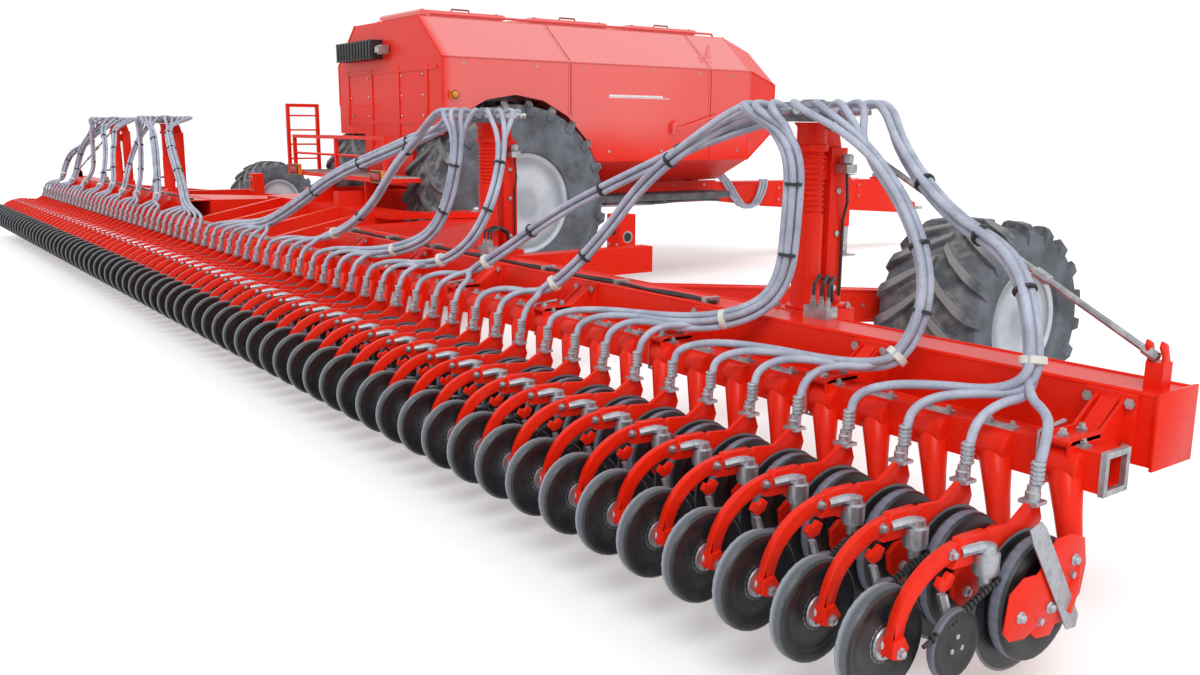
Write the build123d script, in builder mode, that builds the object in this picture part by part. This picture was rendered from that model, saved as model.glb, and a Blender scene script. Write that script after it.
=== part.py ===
import os
from math import cos, pi, radians, sin

from build123d import *

# Trailed single-disc seed drill in its working spread, in millimetres.
# X is the machine's right, Y is forward, Z is up, and the floor is at Z 0.
# Lengths along the machine are counted forward from the line of the closing arms' tips.

# Rows
row_count = 72
row_pitch = 250
centre_rows = 14
tower_rows = 18

# Whole machine, along its length
eye_ahead = 11580
closing_wheel_behind = 30

# Coulter rows, seen from the side: distance ahead of the tip line, and height
closing_wheel_radius = 165
closing_wheel_width = 44
closing_hub_height = 370
seed_disc_radius = 230
seed_disc_width = 10
seed_disc_ahead = 540
seed_disc_height = 365
arm_width = 36
arm_depth = 80
running_gap = 0.4
disc_sides = 8
hose_end_ahead = 620
hose_end_height = 660
closing_arc_rise = 235
closing_arc_run = 260

# Coulter tube and the beam ahead of it
tube_size = 130
tube_wall = 12
tube_ahead = 850
tube_height = 745
beam_depth = 240
beam_height_size = 240
beam_ahead = 1200
beam_height = 830
beam_end = 9000
beam_wall = 12
section_gap = 30
bracket_width = 60
bracket_pitch = 1000
bracket_inset = 150
beam_start = 265

# Fold hinge of each wing
fold_x = 1750
fold_ahead = 2700
fold_pin_radius = 45
fold_pin_clearance = 0.3
knuckle_radius = 110
knuckle_height = 240
lug_thickness = 50
lug_clearance = 6
hinge_arm_reach = 1500
hinge_arm_wall = 24

# Wheels
main_wheel_radius = 1030
main_wheel_width = 860
main_wheel_x = 1050
main_wheel_ahead = 3450
main_rim_radius = 500
wing_wheel_radius = 620
wing_wheel_width = 750
wing_wheel_x = 6600
wing_wheel_ahead = 3620
wing_rim_radius = 330
main_lugs = 18
wing_lugs = 16
lug_height = 38
lug_width = 60
lug_skew = 28
lug_length_share = 0.48
lug_offset_share = 0.23
shoulder_share = 0.16
shoulder_drop = 0.9
rim_sides = 12
rim_edge = 30
rim_dish = 0.82
dish_share_out = 0.3
dish_share_in = 0.35
stub_radius = 60
stub_clearance = 0.5
stub_overrun = 100
wheel_arm_gap = 60
wheel_arm_width = 120
wheel_arm_depth = 220
axle_depth = 180
axle_drop = 120
axle_rise = 70
axle_gap = 20

# Distribution towers
outer_tower_x = 7150
inner_tower_x = 4180
tower_ahead = 1420
riser_radius = 70
post_width = 80
post_depth = 110
post_ahead = 1570
head_radius = 170
head_thickness = 90
head_height = 1865
post_below_head = 160
strap_width = 30
strap_depth = 60
tower_foot_width = 260
tower_foot_depth = 140
hose_size = 28
hose_reach = 160
hose_drop_share = 0.18
hose_sag_share = 0.164
hose_lean = 0.3
hose_upright = 260

# Hopper
hopper_rear_ahead = 2620
hopper_front_ahead = 6680
nose_front_ahead = 7300
hopper_half_width = 1250
foot_height = 30
hopper_edge_rise = 260
hopper_fold_rise = 1280
roof_rise = 1690
roof_half_width = 760
floor_half_width = 700
nose_half_width = 1050
nose_fold_drop = 140
nose_edge_rise = 340
nose_roof_half_width = 560
nose_floor_half_width = 400
hopper_wall = 14
arch_gap = 40
arch_sides = 20
corner_share = 0.27
foot_places = (2900, 4900, 6550)
meter_places = (5350, 5900)
meter_width = 440
meter_length = 400
meter_height = 330
lid_count = 3
lid_length = 980
lid_width = 900
lid_thickness = 50
coaming_height = 45
coaming_wall = 30
lid_overlap = 20
lid_chamfer = 18
lid_seat_gap = 0.3

# Chassis and drawbar
rail_x = 400
rail_width = 120
rail_height = 260
rail_above_axle = 120
rail_front_ahead = 6900
cross_member_ahead = 2000
cross_member_depth = 300
cross_member_wall = 20
front_member_depth = 200
carrier_inset = 450
centre_brackets = (-1200, -450, 450, 1200)
drawbar_width = 300
drawbar_slope_start = 1230
drawbar_bend_start = 1780
drawbar_belly_start = 3580
drawbar_belly_drop = 120
eye_height = 600
eye_radius = 80
eye_bore_radius = 25
eye_thickness = 40
eye_stem = 240
collar_rise = 90
collar_drop = 70
collar_thickness = 20
jack_ahead = 9600
jack_x = 260
jack_size = 100
jack_wall = 8
jack_clearance = 0.3
jack_tube_base = 420
jack_tube_top = 1120
jack_leg_top = 740
jack_mount = 240
foot_size = 260
foot_thickness = 20

# Rear platform, lamps, intake and pipes on the chassis
platform_half_width = 1200
platform_ahead = (2020, 2400)
platform_height = 1300
platform_thickness = 40
handrail_height = 1700
handrail_size = 36
ladder_rail_x = -1380
ladder_rail_top = 2040
intake_x = (-1000, -60)
intake_depth = 120
intake_height = 180
lamp_size = 80
lamp_depth = 40
pipe_places = (620, 740, 860)
pipe_radius = 46
pipe_ahead = (4780, 6750)
pipe_plates = (5000, 6500)
pipe_below_rail = 150

# Support blocks on the wings and the stays' brackets at the beams' ends
block_x = 4180
block_width = 160
block_ahead = 2650
block_height = 1150
block_depth = 150
block_arm_reach = 290
block_arm_gap = 30
stay_end_x = 8930
stay_end_height = 1040
stay_bracket = 60

# Places worked out from the sizes above
rail_top = main_wheel_radius + rail_above_axle
floor_height = rail_top + foot_height
hopper_edge_height = floor_height + hopper_edge_rise
hopper_fold_height = floor_height + hopper_fold_rise
roof_height = floor_height + roof_rise
tip_line = -(eye_ahead + eye_radius - closing_wheel_behind - closing_wheel_radius) / 2
centre_half = centre_rows * row_pitch / 2
row_places = [(row_count - 1) * row_pitch / 2 - row_pitch * i for i in range(row_count)]
wing_row_count = (row_count - centre_rows) // 2
right_rows = row_places[:wing_row_count]
centre_row_places = row_places[wing_row_count:wing_row_count + centre_rows]
left_rows = row_places[wing_row_count + centre_rows:]
closing_hub = (tip_line - closing_wheel_behind, closing_hub_height)
seed_hub = (tip_line + seed_disc_ahead, seed_disc_height)
tube_y = tip_line + tube_ahead
beam_y = tip_line + beam_ahead
beam_top = beam_height + beam_height_size / 2
fold_y = tip_line + fold_ahead
knuckle_base = beam_height - knuckle_height / 2
knuckle_top = beam_height + knuckle_height / 2

os.makedirs("parts", exist_ok=True)


def save(piece, name):
    piece.part.label = name
    export_step(piece.part, "parts/" + name + ".step")


def side_plane(x):
    """Plane across the machine at x, its own x forward and its own y up."""
    return Plane(origin=(x, 0, 0), x_dir=(0, 1, 0), z_dir=(1, 0, 0))


def wheel_plane(x, y, z):
    """Plane of a wheel, its own x straight down so that one flat faces the floor."""
    return Plane(origin=(x, y, z), x_dir=(0, 0, -1), z_dir=(1, 0, 0))


def side_plates(outline, places, thickness):
    """Plates centred on each place across the machine, with an outline of (y, z) points."""
    with BuildSketch(*[side_plane(x - thickness / 2) for x in places]) as profile:
        Polygon(*outline, align=None)
    extrude(profile.sketch, amount=thickness)


def box(x_range, y_range, z_range, mode=Mode.ADD):
    """Block between two corners."""
    (x0, x1), (y0, y1), (z0, z1) = x_range, y_range, z_range
    with Locations(((x0 + x1) / 2, (y0 + y1) / 2, (z0 + z1) / 2)):
        Box(abs(x1 - x0), abs(y1 - y0), abs(z1 - z0), mode=mode)


def faceted(rings):
    """Solid with flat faces between rings of points, closed at both ends."""
    faces = [Face(Wire.make_polygon(rings[0])), Face(Wire.make_polygon(rings[-1]))]
    for near, far in zip(rings, rings[1:]):
        for i in range(len(near)):
            j = (i + 1) % len(near)
            faces.append(Face(Wire.make_polygon([near[i], near[j], far[j], far[i]])))
    return Solid(Shell(faces))


def wheel_ring(x, y, z, flat_radius, count):
    """Corners of a polygon round an axle, one flat of it facing the floor."""
    corner = flat_radius / cos(pi / count)
    turns = [2 * pi * (i + 0.5) / count for i in range(count)]
    return [(x, y + corner * sin(turn), z - corner * cos(turn)) for turn in turns]


# Row arms: a bar from the tube down to the disc's hub, and the curved closing arm to its wheel

def row_arms(places):
    """One arm for each row, from the tube's rear face to the closing wheel's hub."""
    half = arm_depth / 2
    tube_rear = tube_y - tube_size / 2
    arc_y, arc_z = closing_hub[0] + closing_arc_run, closing_hub_height + closing_arc_rise
    outline = [
        (tube_rear, tube_height + tube_size / 2),
        (tube_rear, tube_height - tube_size / 2),
        (seed_hub[0] + half, seed_hub[1] - half / 2),
        (seed_hub[0] - half, seed_hub[1] - half / 2),
        (arc_y + half / 2, arc_z - 1.5 * half),
        (closing_hub[0] + 1.5 * half, closing_hub_height - half / 2),
        (closing_hub[0] - half / 2, closing_hub_height),
        (closing_hub[0] + half, closing_hub_height + closing_arc_rise / 2),
        (arc_y, arc_z),
        (tip_line + hose_end_ahead - half, hose_end_height),
        (tip_line + hose_end_ahead + half / 2, hose_end_height),
    ]
    with BuildPart() as arms:
        side_plates(outline, places, arm_width)
    return arms


def disc_set(places, hub, radius, width, offset):
    """One flat-sided disc for each row, all on one line across the machine."""
    faces = [wheel_plane(x + offset - width / 2, hub[0], hub[1]) for x in places]
    with BuildPart() as discs:
        with BuildSketch(*faces) as profile:
            RegularPolygon(radius, disc_sides)
        extrude(profile.sketch, amount=width)
    return discs


disc_offset = arm_width / 2 + running_gap + seed_disc_width / 2
wheel_offset = -(arm_width / 2 + running_gap + closing_wheel_width / 2)
for section, places in (("right", right_rows), ("centre", centre_row_places), ("left", left_rows)):
    save(row_arms(places), "row_arms_" + section)
    discs = disc_set(places, seed_hub, seed_disc_radius, seed_disc_width, disc_offset)
    save(discs, "seed_discs_" + section)
    closing = disc_set(places, closing_hub, closing_wheel_radius, closing_wheel_width, wheel_offset)
    save(closing, "closing_wheels_" + section)


# Wing frames: beam, coulter tube, the brackets between them, the hinge arm and its knuckle

def coulter_tube(x0, x1):
    """Open square tube between x0 and x1."""
    with BuildSketch(side_plane(min(x0, x1))) as profile:
        with Locations((tube_y, tube_height)):
            Rectangle(tube_size, tube_size)
            Rectangle(tube_size - 2 * tube_wall, tube_size - 2 * tube_wall, mode=Mode.SUBTRACT)
    extrude(profile.sketch, amount=abs(x1 - x0))


def wing_frame(side):
    """Wing frame on the machine's right for side 1 and on its left for side -1."""
    inner = centre_half + section_gap / 2
    beam_inner = centre_half + beam_start
    beam_rear = beam_y - beam_depth / 2
    beam_front = beam_y + beam_depth / 2
    beam_base = beam_height - beam_height_size / 2
    with BuildPart() as frame:
        coulter_tube(side * inner, side * beam_end)
        box((side * beam_inner, side * beam_end), (beam_rear, beam_front), (beam_base, beam_top))
        hollow_y = (beam_rear + beam_wall, beam_front - beam_wall)
        hollow_z = (beam_base + beam_wall, beam_top - beam_wall)
        box((side * beam_inner, side * (beam_end - beam_wall)), hollow_y, hollow_z, mode=Mode.SUBTRACT)
        bracket_count = int((beam_end - inner) // bracket_pitch)
        bracket = [
            (tube_y + tube_size / 2, tube_height - tube_size / 2),
            (tube_y + tube_size / 2, tube_height + tube_size / 2),
            (beam_rear, beam_top - beam_wall),
            (beam_rear, beam_base),
        ]
        bracket_places = [side * (beam_end - bracket_inset - i * bracket_pitch) for i in range(bracket_count)]
        side_plates(bracket, bracket_places, bracket_width)
        arm_outline = [
            (side * (fold_x + knuckle_radius), fold_y),
            (side * (fold_x + hinge_arm_reach), beam_front),
            (side * beam_inner, beam_front),
            (side * (fold_x - fold_pin_radius), fold_y - knuckle_radius),
        ]
        block_range = (side * (block_x - block_width / 2), side * (block_x + block_width / 2))
        arm_end = side * (block_x + block_arm_reach)
        block_arm = (side * (block_x + tower_foot_width / 2 + block_arm_gap), arm_end)
        block_y = tip_line + block_ahead
        block_base = beam_base + 2 * beam_wall
        box(block_arm, (beam_front, block_y), (block_base, beam_top - 2 * beam_wall))
        box(block_range, (block_y - block_depth, block_y), (block_base, block_height))
        box((block_range[0], arm_end), (block_y - block_depth, block_y),
            (block_base, block_base + block_depth))
        end_x = side * stay_end_x
        half = stay_bracket / 2
        box((end_x - half, end_x + half), (beam_y - half, beam_y + half), (beam_top, stay_end_height))
        with BuildSketch(Plane.XY.offset(knuckle_base)):
            Polygon(*arm_outline, align=None)
        extrude(amount=knuckle_height)
        with BuildSketch(Plane.XY.offset(knuckle_base)):
            Polygon(*arm_outline, align=None)
            offset(amount=-hinge_arm_wall, kind=Kind.INTERSECTION)
        extrude(amount=knuckle_height - hinge_arm_wall, mode=Mode.SUBTRACT)
        with BuildSketch(Plane.XY.offset(knuckle_base)):
            with Locations((side * fold_x, fold_y)):
                RegularPolygon(knuckle_radius, 12)
        extrude(amount=knuckle_height)
        with BuildSketch(Plane.XY.offset(knuckle_base)):
            with Locations((side * fold_x, fold_y)):
                Circle(fold_pin_radius + fold_pin_clearance)
        extrude(amount=knuckle_height, mode=Mode.SUBTRACT)
    return frame


def wheel_arm(side):
    """Arm from the wing's beam to the wing wheel, with its stub axle."""
    beam_front = beam_y + beam_depth / 2
    hub_y = tip_line + wing_wheel_ahead
    arm_x = wing_wheel_x - wing_wheel_width / 2 - wheel_arm_gap - wheel_arm_width / 2
    half = 1.5 * stub_radius
    outline = [
        (beam_front, beam_height - wheel_arm_depth / 2),
        (beam_front, beam_height + wheel_arm_depth / 2),
        (hub_y + half, wing_wheel_radius + half),
        (hub_y + half, wing_wheel_radius - half),
        (hub_y - half, wing_wheel_radius - half),
    ]
    with BuildPart() as arm:
        side_plates(outline, [side * arm_x], wheel_arm_width)
        with BuildSketch(wheel_plane(side * arm_x, hub_y, wing_wheel_radius)):
            RegularPolygon(stub_radius, rim_sides)
        extrude(amount=side * (wing_wheel_x - arm_x))
    return arm


def towers(side):
    """Riser pipe and square post of both towers of a wing, standing on brackets on the beam."""
    riser_y = tip_line + tower_ahead
    post_y = tip_line + post_ahead
    beam_front = beam_y + beam_depth / 2
    with BuildPart() as pair:
        for tower_x in (outer_tower_x, inner_tower_x):
            x = side * tower_x
            foot_x = (x - tower_foot_width / 2, x + tower_foot_width / 2)
            box(foot_x, (beam_front, post_y + post_depth / 2), (beam_top - tower_foot_depth, beam_top))
            with BuildSketch(Plane(origin=(x, riser_y, beam_top))):
                RegularPolygon(riser_radius, rim_sides)
            extrude(amount=head_height - head_thickness / 2 - beam_top)
            post_top = head_height - post_below_head
            box((x - post_width / 2, x + post_width / 2), (post_y - post_depth / 2, post_y + post_depth / 2),
                (beam_top, post_top))
            box((x - strap_width / 2, x + strap_width / 2), (riser_y, post_y),
                (post_top - 2 * strap_depth, post_top - strap_depth))
    return pair


def outlet_turns(tower_x):
    """First outlet's direction on a head of the right wing and the step to the next, in degrees."""
    if tower_x == outer_tower_x:
        return 63, 18
    return 0, 15


def heads(side):
    """Flat distribution heads, one flat for each outlet."""
    with BuildPart() as pair:
        for tower_x in (outer_tower_x, inner_tower_x):
            first, step = outlet_turns(tower_x)
            turn = first if side > 0 else 180 - first
            base = head_height - head_thickness / 2
            with BuildSketch(Plane(origin=(side * tower_x, tip_line + tower_ahead, base))):
                RegularPolygon(head_radius, 360 // step, major_radius=False, rotation=turn + step / 2)
            extrude(amount=head_thickness)
    return pair


def hose_points(side, tower_x, index, row_x):
    """Route of one seed hose from its outlet to the top of its row's arm."""
    first, step = outlet_turns(tower_x)
    angle = radians(first - index * step)
    tower_y = tip_line + tower_ahead
    reach = head_radius + hose_reach
    start = (tower_x + head_radius * cos(angle), tower_y + head_radius * sin(angle))
    out = (tower_x + reach * cos(angle), tower_y + reach * sin(angle))
    span = abs(row_x - tower_x) / 1000
    rise = head_height - beam_top
    middle_height = head_height - rise * (hose_drop_share + hose_sag_share * span)
    points = [
        (start[0], start[1], head_height),
        (out[0], out[1], head_height),
        (out[0] + (row_x - out[0]) * hose_lean, out[1], middle_height),
        (row_x, tip_line + hose_end_ahead, hose_end_height + hose_upright),
        (row_x, tip_line + hose_end_ahead, hose_end_height),
    ]
    return [(side * x, y, z) for x, y, z in points]


def hose_set(side, jobs):
    """Square-sided hoses along their routes."""
    lengths = []
    for tower_x, index, row_x in jobs:
        points = hose_points(side, tower_x, index, row_x)
        first = Vector(*points[1]) - Vector(*points[0])
        with BuildLine() as route:
            Polyline(*points)
        with BuildSketch(Plane(origin=points[0], x_dir=(0, 0, 1), z_dir=first.normalized())) as section:
            Rectangle(hose_size, hose_size)
        with BuildPart() as hose:
            sweep(section.sketch, path=route.line, transition=Transition.RIGHT)
        lengths.append(hose.part)
    with BuildPart() as hoses:
        add(lengths)
    return hoses


outer_jobs = [(outer_tower_x, i, right_rows[i]) for i in range(tower_rows)]
inner_places = row_places[tower_rows:2 * tower_rows]
inner_jobs = [(inner_tower_x, i, x) for i, x in enumerate(inner_places)]
wing_jobs = outer_jobs + [job for job in inner_jobs if job[2] > centre_half]
crossing_jobs = [job for job in inner_jobs if job[2] < centre_half]

for side, name in ((1, "right"), (-1, "left")):
    save(wing_frame(side), "wing_frame_" + name)
    save(wheel_arm(side), "wing_wheel_arm_" + name)
    save(towers(side), "towers_" + name)
    save(heads(side), "distribution_heads_" + name)
    save(hose_set(side, wing_jobs), "seed_hoses_" + name)
    save(hose_set(side, crossing_jobs), "crossing_hoses_" + name)


# Wheels

def tyre(x, y, radius, width, rim_radius, lugs, side):
    """Lugged tyre whose lowest lug lies flat on the floor."""
    carcass = radius - lug_height
    shoulder = width * shoulder_share
    plane = wheel_plane(x, y, radius)
    stations = (
        (-width / 2, carcass * shoulder_drop),
        (-width / 2 + shoulder, carcass),
        (width / 2 - shoulder, carcass),
        (width / 2, carcass * shoulder_drop),
    )
    with BuildPart() as body:
        add(faceted([wheel_ring(x + offset, y, radius, flat, lugs) for offset, flat in stations]))
        with BuildSketch(plane.offset(-width / 2)):
            RegularPolygon(rim_radius, rim_sides)
        extrude(amount=width, mode=Mode.SUBTRACT)
        lug_length = width * lug_length_share
        corner = lug_length / 2 * sin(radians(lug_skew)) + lug_width / 2 * cos(radians(lug_skew))
        lug_face = (radius - corner * sin(pi / lugs)) / cos(pi / lugs)
        for half in (-1, 1):
            half_turn = 0 if half > 0 else 180 / lugs
            with Locations(plane.offset(half * width * lug_offset_share)):
                with PolarLocations(lug_face - lug_height, lugs, start_angle=half_turn):
                    Box(2 * lug_height, lug_width, lug_length, rotation=(half * side * lug_skew, 0, 0))
    return body


def rim(x, y, radius, width, rim_radius, side):
    """Dished rim with its hub bore, open to the outside of the machine."""
    plane = wheel_plane(x, y, radius)
    with BuildPart() as body:
        with BuildSketch(plane.offset(-width / 2 + rim_edge)):
            RegularPolygon(rim_radius - stub_clearance, rim_sides)
        extrude(amount=width - 2 * rim_edge)
        for face, depth in ((side, width * dish_share_out), (-side, width * dish_share_in)):
            mouth = x + face * (width / 2 - rim_edge)
            stations = ((mouth, rim_radius - 2 * rim_edge), (mouth - face * depth, rim_radius * rim_dish))
            dish = faceted([wheel_ring(at, y, radius, flat, rim_sides) for at, flat in stations])
            add(dish, mode=Mode.SUBTRACT)
        with BuildSketch(plane.offset(-width / 2)):
            RegularPolygon(stub_radius + stub_clearance, rim_sides, major_radius=False)
        extrude(amount=width, mode=Mode.SUBTRACT)
    return body


for side, name in ((1, "right"), (-1, "left")):
    main_place = (side * main_wheel_x, tip_line + main_wheel_ahead)
    main_tyre = tyre(*main_place, main_wheel_radius, main_wheel_width, main_rim_radius, main_lugs, side)
    save(main_tyre, "main_tyre_" + name)
    save(rim(*main_place, main_wheel_radius, main_wheel_width, main_rim_radius, side), "main_rim_" + name)
    wing_place = (side * wing_wheel_x, tip_line + wing_wheel_ahead)
    wing_tyre = tyre(*wing_place, wing_wheel_radius, wing_wheel_width, wing_rim_radius, wing_lugs, side)
    save(wing_tyre, "wing_tyre_" + name)
    save(rim(*wing_place, wing_wheel_radius, wing_wheel_width, wing_rim_radius, side), "wing_rim_" + name)

# Main axle with a stub into each hub
main_hub_y = tip_line + main_wheel_ahead
main_inner = main_wheel_x - main_wheel_width / 2
axle_half = axle_depth / 2
with BuildPart() as main_axle:
    box((-main_inner + axle_gap, main_inner - axle_gap), (main_hub_y - axle_half, main_hub_y + axle_half),
        (main_wheel_radius - axle_drop, main_wheel_radius + axle_rise))
    with BuildSketch(wheel_plane(-main_wheel_x - stub_overrun, main_hub_y, main_wheel_radius)):
        RegularPolygon(stub_radius, rim_sides)
    extrude(amount=2 * (main_wheel_x + stub_overrun))
save(main_axle, "main_axle")

# Chassis: two rails, cross members, the hinge carriers and the centre coulter tube
rail_base = rail_top - rail_height
carrier_y0 = tip_line + cross_member_ahead - cross_member_depth / 2
carrier_y1 = tip_line + cross_member_ahead + cross_member_depth / 2
lug_top = knuckle_top + lug_clearance
lug_base = knuckle_base - lug_clearance
carrier_x = fold_x - carrier_inset
rail_front_y = tip_line + rail_front_ahead
lug_reach = knuckle_radius + 20
with BuildPart() as chassis:
    for side in (1, -1):
        x = side * rail_x
        rail_range = (x - rail_width / 2, x + rail_width / 2)
        box(rail_range, (carrier_y0, rail_front_y), (rail_base, rail_top))
        box(rail_range, (carrier_y0, carrier_y1), (lug_top, rail_top))
        box(rail_range, (main_hub_y - axle_half, main_hub_y + axle_half),
            (rail_base, main_wheel_radius + axle_rise), mode=Mode.SUBTRACT)
    box((-rail_x, rail_x), (rail_front_y - front_member_depth, rail_front_y), (rail_base, rail_top))
    box((-carrier_x, carrier_x), (carrier_y0, carrier_y1),
        (lug_base - lug_thickness, lug_top + lug_thickness))
    hollow_x = carrier_x - cross_member_wall
    hollow_y = (carrier_y0 + cross_member_wall, carrier_y1 - cross_member_wall)
    box((-hollow_x, hollow_x), hollow_y, (lug_base - lug_thickness, lug_top), mode=Mode.SUBTRACT)
    for side in (1, -1):
        for base in (lug_base - lug_thickness, lug_top):
            with BuildSketch(Plane.XY.offset(base)):
                Polygon(
                    (side * carrier_x, carrier_y0),
                    (side * carrier_x, carrier_y1),
                    (side * (fold_x - 1.6 * lug_reach), carrier_y1 + lug_reach),
                    (side * (fold_x - 1.6 * lug_reach), fold_y + lug_reach / 2),
                    (side * (fold_x - 0.8 * lug_reach), fold_y + lug_reach),
                    (side * (fold_x + 0.8 * lug_reach), fold_y + lug_reach),
                    (side * (fold_x + lug_reach), fold_y - lug_reach / 2),
                    (side * (fold_x - 0.8 * lug_reach), carrier_y0),
                    align=None,
                )
            extrude(amount=lug_thickness)
        with BuildSketch(Plane.XY.offset(lug_base - lug_thickness)):
            with Locations((side * fold_x, fold_y)):
                Circle(fold_pin_radius)
        extrude(amount=lug_top - lug_base + 2 * lug_thickness)
    coulter_tube(-centre_half + section_gap / 2, centre_half - section_gap / 2)
    bracket = [
        (tube_y + tube_size / 2, tube_height - tube_size / 2),
        (tube_y + tube_size / 2, tube_height + tube_size / 2),
        (carrier_y0, lug_top + lug_thickness),
        (carrier_y0, lug_base - lug_thickness),
    ]
    side_plates(bracket, centre_brackets, bracket_width)
save(chassis, "chassis_frame")

# Drawbar: deep at the chassis, sloping down to the eye
eye_y = tip_line + eye_ahead
collar_y = eye_y - eye_stem
with BuildPart() as drawbar:
    drawbar_outline = [
        (rail_front_y, rail_base),
        (rail_front_y, rail_top - 40),
        (eye_y - drawbar_slope_start, rail_top - 80),
        (collar_y, eye_height + collar_rise),
        (collar_y, eye_height - collar_drop),
        (eye_y - drawbar_bend_start, eye_height + 40),
        (eye_y - drawbar_belly_start, rail_base - drawbar_belly_drop),
    ]
    side_plates(drawbar_outline, [0], drawbar_width)
save(drawbar, "drawbar")

with BuildPart() as tow_eye:
    with BuildSketch(Plane.XY.offset(eye_height - eye_thickness / 2)):
        with Locations((0, eye_y)):
            RegularPolygon(eye_radius, 16, rotation=90)
        with Locations((0, eye_y - eye_stem / 2)):
            Rectangle(collar_rise, eye_stem)
        with Locations((0, eye_y)):
            Circle(eye_bore_radius, mode=Mode.SUBTRACT)
    extrude(amount=eye_thickness)
    box((-collar_rise, collar_rise), (collar_y, collar_y + collar_thickness),
        (eye_height - collar_drop, eye_height + collar_rise))
save(tow_eye, "tow_eye")

# Parking jack on the drawbar's side: a square tube with a sliding leg
jack_y = tip_line + jack_ahead
with BuildPart() as jack_tube:
    half = jack_size / 2
    box((jack_x - half, jack_x + half), (jack_y - half, jack_y + half), (jack_tube_base, jack_tube_top))
    inner_half = half - jack_wall
    box((jack_x - inner_half, jack_x + inner_half), (jack_y - inner_half, jack_y + inner_half),
        (jack_tube_base, jack_tube_top - jack_wall), mode=Mode.SUBTRACT)
    box((drawbar_width / 2, jack_x - half), (jack_y - jack_mount / 3, jack_y + jack_mount / 3),
        (jack_leg_top - jack_mount / 6, jack_leg_top + jack_mount * 5 / 6))
save(jack_tube, "jack_tube")

with BuildPart() as jack_leg:
    leg_half = jack_size / 2 - jack_wall - jack_clearance
    box((jack_x - leg_half, jack_x + leg_half), (jack_y - leg_half, jack_y + leg_half),
        (foot_thickness, jack_leg_top))
    box((jack_x - foot_size / 2, jack_x + foot_size / 2), (jack_y - foot_size / 2, jack_y + foot_size / 2),
        (0, foot_thickness))
save(jack_leg, "jack_leg")

# Hopper: a faceted shell with a nose, cut over the main wheels, with three openings in its roof


roof_slope = (roof_height - hopper_fold_height) / (hopper_half_width - roof_half_width)
floor_slope = (hopper_edge_height - floor_height) / (hopper_half_width - floor_half_width)


def hopper_ring(y, inset, half_width, roof_half, floor_half, fold, edge):
    """Corners across the hopper at y; all rings share their slopes, so that every panel is flat."""
    roof = fold + (half_width - roof_half) * roof_slope - inset
    floor = edge - (half_width - floor_half) * floor_slope + inset
    half_width -= inset
    roof_half -= inset * corner_share
    floor_half -= inset * corner_share
    fold = roof - (half_width - roof_half) * roof_slope
    edge = floor + (half_width - floor_half) * floor_slope
    right = [(roof_half, roof), (half_width, fold), (half_width, edge), (floor_half, floor)]
    return [(x, y, z) for x, z in right] + [(-x, y, z) for x, z in reversed(right)]


hopper_shape = (hopper_half_width, roof_half_width, floor_half_width, hopper_fold_height, hopper_edge_height)
nose_shape = (
    nose_half_width,
    nose_roof_half_width,
    nose_floor_half_width,
    hopper_fold_height - nose_fold_drop,
    hopper_edge_height + nose_edge_rise,
)


def hopper_block(inset):
    """Hopper as a solid block, inset from the outside by the wall."""
    rear = tip_line + hopper_rear_ahead + inset
    front = tip_line + hopper_front_ahead
    nose = tip_line + nose_front_ahead - inset
    rings = [hopper_ring(y, inset, *hopper_shape) for y in (rear, front)]
    rings.append(hopper_ring(nose, inset, *nose_shape))
    with BuildPart() as block:
        add(faceted(rings))
        arch_inner = main_inner - arch_gap - inset
        for side in (1, -1):
            with BuildSketch(wheel_plane(side * arch_inner, main_hub_y, main_wheel_radius)):
                RegularPolygon(main_wheel_radius + arch_gap + inset, arch_sides, major_radius=False)
            extrude(amount=side * hopper_half_width, mode=Mode.SUBTRACT)
    return block


lid_pitch = (hopper_front_ahead - hopper_rear_ahead) / lid_count
lid_centres = [tip_line + hopper_rear_ahead + lid_pitch * (i + 0.5) for i in range(lid_count)]
lid_seat = roof_height + coaming_height
with BuildPart() as hopper:
    add(hopper_block(0).part)
    add(hopper_block(hopper_wall).part, mode=Mode.SUBTRACT)
    for y in lid_centres:
        box((-lid_width / 2, lid_width / 2), (y - lid_length / 2, y + lid_length / 2),
            (roof_height, lid_seat))
        box((-lid_width / 2 + coaming_wall, lid_width / 2 - coaming_wall),
            (y - lid_length / 2 + coaming_wall, y + lid_length / 2 - coaming_wall),
            (roof_height - 3 * hopper_wall, lid_seat), mode=Mode.SUBTRACT)
save(hopper, "hopper")

for i, y in enumerate(lid_centres):
    base = lid_seat + lid_seat_gap
    with BuildPart() as lid:
        half_x, half_y = lid_width / 2 + lid_overlap, lid_length / 2 + lid_overlap
        box((-half_x, half_x), (y - half_y, y + half_y), (base, base + lid_thickness))
        chamfer(lid.edges().group_by(Axis.Z)[-1], length=lid_chamfer)
    save(lid, "hopper_lid_" + str(i + 1))

# Hopper feet on the rails, and the metering units below its floor
with BuildPart() as feet:
    for side in (1, -1):
        for ahead in foot_places:
            y = tip_line + ahead
            x = side * rail_x
            box((x - rail_width / 2, x + rail_width / 2), (y - rail_width / 2, y + rail_width / 2),
                (rail_top, floor_height))
save(feet, "hopper_feet")

with BuildPart() as meters:
    for ahead in meter_places:
        y = tip_line + ahead
        box((-meter_width / 2, meter_width / 2), (y - meter_length / 2, y + meter_length / 2),
            (floor_height - meter_height, floor_height))
save(meters, "metering_units")

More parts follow.
